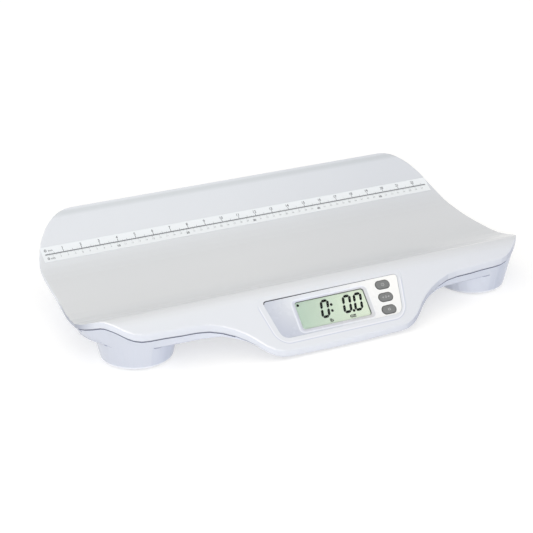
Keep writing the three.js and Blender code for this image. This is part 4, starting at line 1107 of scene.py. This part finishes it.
tape_lines()
tape_figures()
tape_centimetres()


# The panel's marks, drawn flat in its frame and laid at their depth
def panel_piece(name, work, depth, thickness, material, body="scale_body"):
    thicken(work, depth + MARK_OFF, thickness)
    bmesh.ops.transform(work, matrix=PANEL, verts=work.verts)
    new_piece(name, work, material, body)


# The display's figures, on the face of its glass; FIGURE_MIDDLE is the first one's middle
LCD_FACE = -5.2 * MM
FIGURE_PITCH = 15.65 * MM
FIGURE_WIDTH = 12.5 * MM
FIGURE_HEIGHT = 24.2 * MM
FIGURE_STROKE = 3.5 * MM
FIGURE_GAP = 0.5 * MM
FIGURE_LEAN = math.tan(math.radians(11.7))
FIGURE_MIDDLE = Vector((-13.1, -5.1)) * MM

# A segment's place across and up, in half widths and half heights, and whether it is upright
SEGMENTS = {
    "top": (0, 1, False),
    "middle": (0, 0, False),
    "bottom": (0, -1, False),
    "upper_left": (-1, 0.5, True),
    "upper_right": (1, 0.5, True),
    "lower_left": (-1, -0.5, True),
    "lower_right": (1, -0.5, True),
}
ZERO = [name for name in SEGMENTS if name != "middle"]
ZERO_PLACES = (0, 2, 3)

# In millimetres from the panel's middle: a dot's radius and place, and a unit's text, height,
# place, width and weight
DOTS = ((1.9, -3.1, -1.5), (1.9, -4.4, -9.5), (1.9, 24.2, -15.4), (1.8, -47.4, 6.3))
UNITS = (("lb", 4.4, -9.6, -21.2, 1.1, 0.03), ("oz", 3.6, 20.6, -21.8, 1.2, 0.03))


def figure(work, place, names):
    """Segments of one figure, which leans to the right, so many places from the first zero."""
    middle = FIGURE_MIDDLE + Vector((place * FIGURE_PITCH, 0))
    lean = Matrix.Identity(4)
    lean[0][1] = FIGURE_LEAN
    centre = Matrix.Translation((*middle, 0)) @ lean
    half_width = (FIGURE_WIDTH - FIGURE_STROKE) / 2
    half_height = (FIGURE_HEIGHT - FIGURE_STROKE) / 2
    for name in names:
        x, y, upright = SEGMENTS[name]
        spot = Matrix.Translation((x * half_width, y * half_height, 0))
        if upright:
            spot = spot @ Matrix.Rotation(math.pi / 2, 4, "Z")
        length = (half_height if upright else 2 * half_width) - FIGURE_GAP
        bar(work, length, FIGURE_STROKE, centre @ spot)


def shown_figures():
    work = bmesh.new()
    for place in ZERO_PLACES:
        figure(work, place, ZERO)
    for radius, x, y in DOTS:
        disc(work, radius * MM, x * MM, y * MM)
    for text, height, x, y, wide, weight in UNITS:
        write(work, text, height * MM, x * MM, y * MM, wide, weight)
    panel_piece("display_figures", work, LCD_FACE, FIGURE_THICK, display_ink)


# A dark edge round the glass, painted shadow of the surround's walls, from under the surround to a
# little way over the glass
OPENING_MIDDLE = Vector((-2.9, -7.85)) * MM
OPENING = Vector((97.4, 36.9)) * MM
OPENING_CORNER = 3.5 * MM
EDGE_OVER = 0.6 * MM
EDGE_UNDER = 1.0 * MM


def display_border():
    work = bmesh.new()
    size = OPENING + Vector((2, 2)) * EDGE_UNDER
    strip(work, size.x, size.y, *OPENING_MIDDLE)
    bmesh.ops.bevel(
        work, geom=list(work.verts), offset=OPENING_CORNER + EDGE_UNDER, offset_type="OFFSET",
        segments=6, profile=0.5, affect="VERTICES", material=-1,
    )
    hollow(work, EDGE_UNDER + EDGE_OVER)
    panel_piece("display_border", work, LCD_FACE, MARK_THICK, opening_shadow_ink)


# A painted shadow line in the gap over the fascia, which is widest at its left corner and fades out
# above the keys
SEAM_END = 52 * MM
SEAM_DROP = 5 * MM
SEAM_WIDE = 1.1 * MM
SEAM_THIN = 0.25 * MM
SEAM_NARROWING = 1.25
SEAM_PARTS = 8


def fascia_front():
    """The corners of the fascia's front face, in the panel's frame, and how high it lies."""
    places = [in_panel(vert.co) for vert in frame["nodes"]["display_fascia"].data.vertices]
    face = max(place.z for place in places)
    return {(round(p.x, 6), round(p.y, 6)) for p in places if p.z > face - LEVEL}, face


def fascia_seam():
    front, face = fascia_front()
    top = max(y for x, y in front)
    corner = min(x for x, y in front)
    arc = sorted((x, y) for x, y in front if x < corner + SEAM_DROP and y > top - SEAM_DROP)
    straight = max(x for x, y in arc)
    part = (SEAM_END - straight) / SEAM_PARTS
    along = [(straight + part * i, top) for i in range(1, SEAM_PARTS + 1)]
    middle = Vector((corner + 2 * SEAM_DROP, top - 2 * SEAM_DROP))
    work = bmesh.new()
    pairs = []
    for x, y in arc + along:
        share = min(1.0, (x - corner) / (SEAM_END - corner) * SEAM_NARROWING)
        inward = (middle - Vector((x, y))).normalized() if x < middle.x else Vector((0, -1))
        near = Vector((x, y)) + inward * (SEAM_WIDE + (SEAM_THIN - SEAM_WIDE) * share)
        pairs.append([work.verts.new((*place, 0)) for place in ((x, y), near)])
    for (a, b), (c, d) in zip(pairs, pairs[1:]):
        work.faces.new((a, b, d, c))
    panel_piece("fascia_seam", work, face, SHADE_THICK, seam_shade)


shown_figures()
display_border()
fascia_seam()

# The keys' marks, on their crowns, and painted shadow rims round them; a key's middle is
# in millimetres, in the panel's frame
FASCIA_DEPTH = 1.3 * MM
KEY_PROUD = 1.0 * MM
KEY_FACE = KEY_PROUD - FASCIA_DEPTH
KEYS = {"button_upper": (72.95, 8.6), "button_middle": (71.2, -8.3), "button_lower": (69.45, -25.2)}
KEY_STROKE = 0.5 * MM
POWER_RADIUS = 1.9 * MM
POWER_GAP = 70
POWER_BAR = 2.2 * MM
POWER_BAR_UP = 1.3 * MM
NOUGHT = 3.4 * MM
ARROW_OFF = 4.2 * MM
ARROW_LENGTH = 3.0 * MM
BARB_OFF = Vector((3.4, 0.55)) * MM
BARB_LENGTH = 2.0 * MM
BARB_TURN = math.radians(40)
HOLD_OFF = 1.1 * MM
HOLD_WIDTH = 0.9 * MM
HOLD_HEIGHT = 3.4 * MM
RIM_OUT = 1.0 * MM
RIM_IN = 0.1 * MM


def power_mark(work, x, y):
    open_ring(work, POWER_RADIUS, KEY_STROKE, x, y, POWER_GAP)
    strip(work, KEY_STROKE, POWER_BAR, x, y + POWER_BAR_UP)


def zero_mark(work, x, y):
    """A nought between two arrows that point at it."""
    write(work, "0", NOUGHT, x, y)
    for side in (-1, 1):
        strip(work, ARROW_LENGTH, KEY_STROKE, x + side * ARROW_OFF, y)
        for turn in (-1, 1):
            place = Matrix.Translation((x + side * BARB_OFF.x, y + turn * BARB_OFF.y, 0))
            tilt = Matrix.Rotation(side * turn * BARB_TURN, 4, "Z")
            bar(work, BARB_LENGTH, KEY_STROKE, place @ tilt)


def hold_mark(work, x, y):
    for side in (-1, 1):
        strip(work, HOLD_WIDTH, HOLD_HEIGHT, x + side * HOLD_OFF, y)


def key_rims():
    """Painted shadow: dark rims round the keys."""
    _, face = fascia_front()
    work = bmesh.new()
    for name in KEYS:
        places = [in_panel(vert.co) for vert in frame["nodes"][name].data.vertices]
        outline = [Vector((place.x, place.y)) for place in places if place.z > face]
        middle = sum(outline, Vector((0, 0))) / len(outline)
        wide, high = [
            max(place[i] for place in outline) - min(place[i] for place in outline)
            for i in range(2)
        ]
        made = bmesh.ops.create_circle(work, cap_ends=True, segments=32, radius=high / 2 + RIM_OUT)
        for vert in made["verts"]:
            vert.co.x += math.copysign((wide - high) / 2, vert.co.x)
        bmesh.ops.translate(work, vec=(*middle, 0), verts=made["verts"])
    hollow(work, RIM_OUT - RIM_IN)
    panel_piece("key_rims", work, face, SHADE_THICK, key_shade)


key_rims()
for (name, (x, y)), mark in zip(KEYS.items(), (power_mark, zero_mark, hold_mark)):
    work = bmesh.new()
    mark(work, x * MM, y * MM)
    panel_piece(name + "_mark", work, KEY_FACE, MARK_THICK, key_ink, body=name)


# Floor, light and camera
FLOOR_TONE = (0.76, 0.78, 0.86)
SEEN_FLOOR_TONE = (0.6, 0.6, 0.6)
SEEN_FLOOR_GLOW = 0.56
FLOOR_HALF = 6
WHITE = (1, 1, 1)

# The dome's light, up to DOME_RISE, and its strength away from the bright side and towards it
HORIZON = (1.42, 1.49, 1.74)
ZENITH = (0.76, 0.74, 0.69)
DOME_RISE = 0.5
BRIGHT_SIDE = Vector((-0.75, -0.65, 0.1)).normalized()
DOME_STRENGTH = (0.5, 1.22)

# Name: place, what it points at, size in metres and power in watts
LAMPS = {
    "key_light": ((-1.25, -2.0, 0.95), (-0.1, 0, 0.05), (0.5, 0.4), 8),
    "front_light": ((0.2, -2.8, 0.35), (0.1, 0, 0.05), (1.6, 0.8), 5),
    "top_light": ((0.1, 0.2, 2.4), (0, 0, 0.05), (2.2, 1.6), 5),
}

# The camera: 24 degrees above the floor and 26.45 degrees left of the front
CAMERA_PLACE = (-0.8498, -1.6504, 0.8679)
CAMERA_TURN = math.radians(26.45)
CAMERA_FALL = math.radians(24)
CAMERA_LENS = 104.2
CAMERA_SENSOR = 36
CAMERA_REACH = 50


def seen(tree):
    """One for the camera's own rays and for those that mirror it or pass through glass."""
    path = put(tree, "LightPath").outputs
    either = maths(tree, "MAXIMUM", path["Is Camera Ray"], path["Is Glossy Ray"])
    return maths(tree, "MAXIMUM", either, path["Is Transmission Ray"])


def floor():
    """A pale floor that the camera sees as white, with the object's shadow on it."""
    material = bpy.data.materials.new("floor_white")
    material.use_nodes = True
    tree = material.node_tree
    tree.nodes.clear()
    plain = put(tree, "BsdfDiffuse", {"Color": rgba(FLOOR_TONE)})
    shade = put(tree, "BsdfDiffuse", {"Color": rgba(SEEN_FLOOR_TONE)})
    glow = put(tree, "Emission", {"Color": rgba(WHITE), "Strength": SEEN_FLOOR_GLOW})
    white = put(tree, "AddShader", {0: shade.outputs[0], 1: glow.outputs[0]})
    both = put(tree, "MixShader", {0: seen(tree), 1: plain.outputs[0], 2: white.outputs[0]})
    put(tree, "OutputMaterial", {"Surface": both.outputs[0]})
    work = bmesh.new()
    bmesh.ops.create_grid(work, x_segments=1, y_segments=1, size=FLOOR_HALF)
    sheet = add_mesh("floor", work, material)


def surroundings():
    """White to the camera; as light, a soft dome, cooler low down and bright at the front left."""
    world = bpy.data.worlds.new("studio")
    world.use_nodes = True
    bpy.context.scene.world = world
    tree = world.node_tree
    tree.nodes.clear()
    way = put(tree, "TexCoord").outputs["Generated"]
    rise = span(tree, split(tree, way)["Z"], 0.0, DOME_RISE)
    colour = blend_colour(tree, rise, rgba(HORIZON), rgba(ZENITH))
    strength = span(tree, dot(tree, way, BRIGHT_SIDE), -1.0, 1.0, *DOME_STRENGTH)
    dome = put(tree, "Background", {"Color": colour, "Strength": strength})
    white = put(tree, "Background", {"Color": rgba(WHITE), "Strength": 1.0})
    both = put(tree, "MixShader", {0: seen(tree), 1: dome.outputs[0], 2: white.outputs[0]})
    put(tree, "OutputWorld", {"Surface": both.outputs[0]})


def softbox(name, place, target, size, power):
    data = bpy.data.lights.new(name, "AREA")
    data.shape = "RECTANGLE"
    data.size, data.size_y = size
    data.energy = power
    lamp = bpy.data.objects.new(name, data)
    lamp.location = place
    lamp.rotation_euler = (Vector(target) - Vector(place)).to_track_quat("-Z", "Y").to_euler()
    bpy.context.scene.collection.objects.link(lamp)


def camera():
    data = bpy.data.cameras.new("camera")
    data.lens = CAMERA_LENS
    data.sensor_width = CAMERA_SENSOR
    data.clip_end = CAMERA_REACH
    holder = bpy.data.objects.new("camera", data)
    level = math.cos(CAMERA_FALL)
    ahead = Vector((
        math.sin(CAMERA_TURN) * level, math.cos(CAMERA_TURN) * level, -math.sin(CAMERA_FALL)
    ))
    holder.location = CAMERA_PLACE
    holder.rotation_euler = ahead.to_track_quat("-Z", "Y").to_euler()
    bpy.context.scene.collection.objects.link(holder)
    bpy.context.scene.camera = holder


floor()
surroundings()
for name, lamp in LAMPS.items():
    softbox(name, *lamp)
camera()
bpy.context.scene.view_settings.view_transform = "Standard"
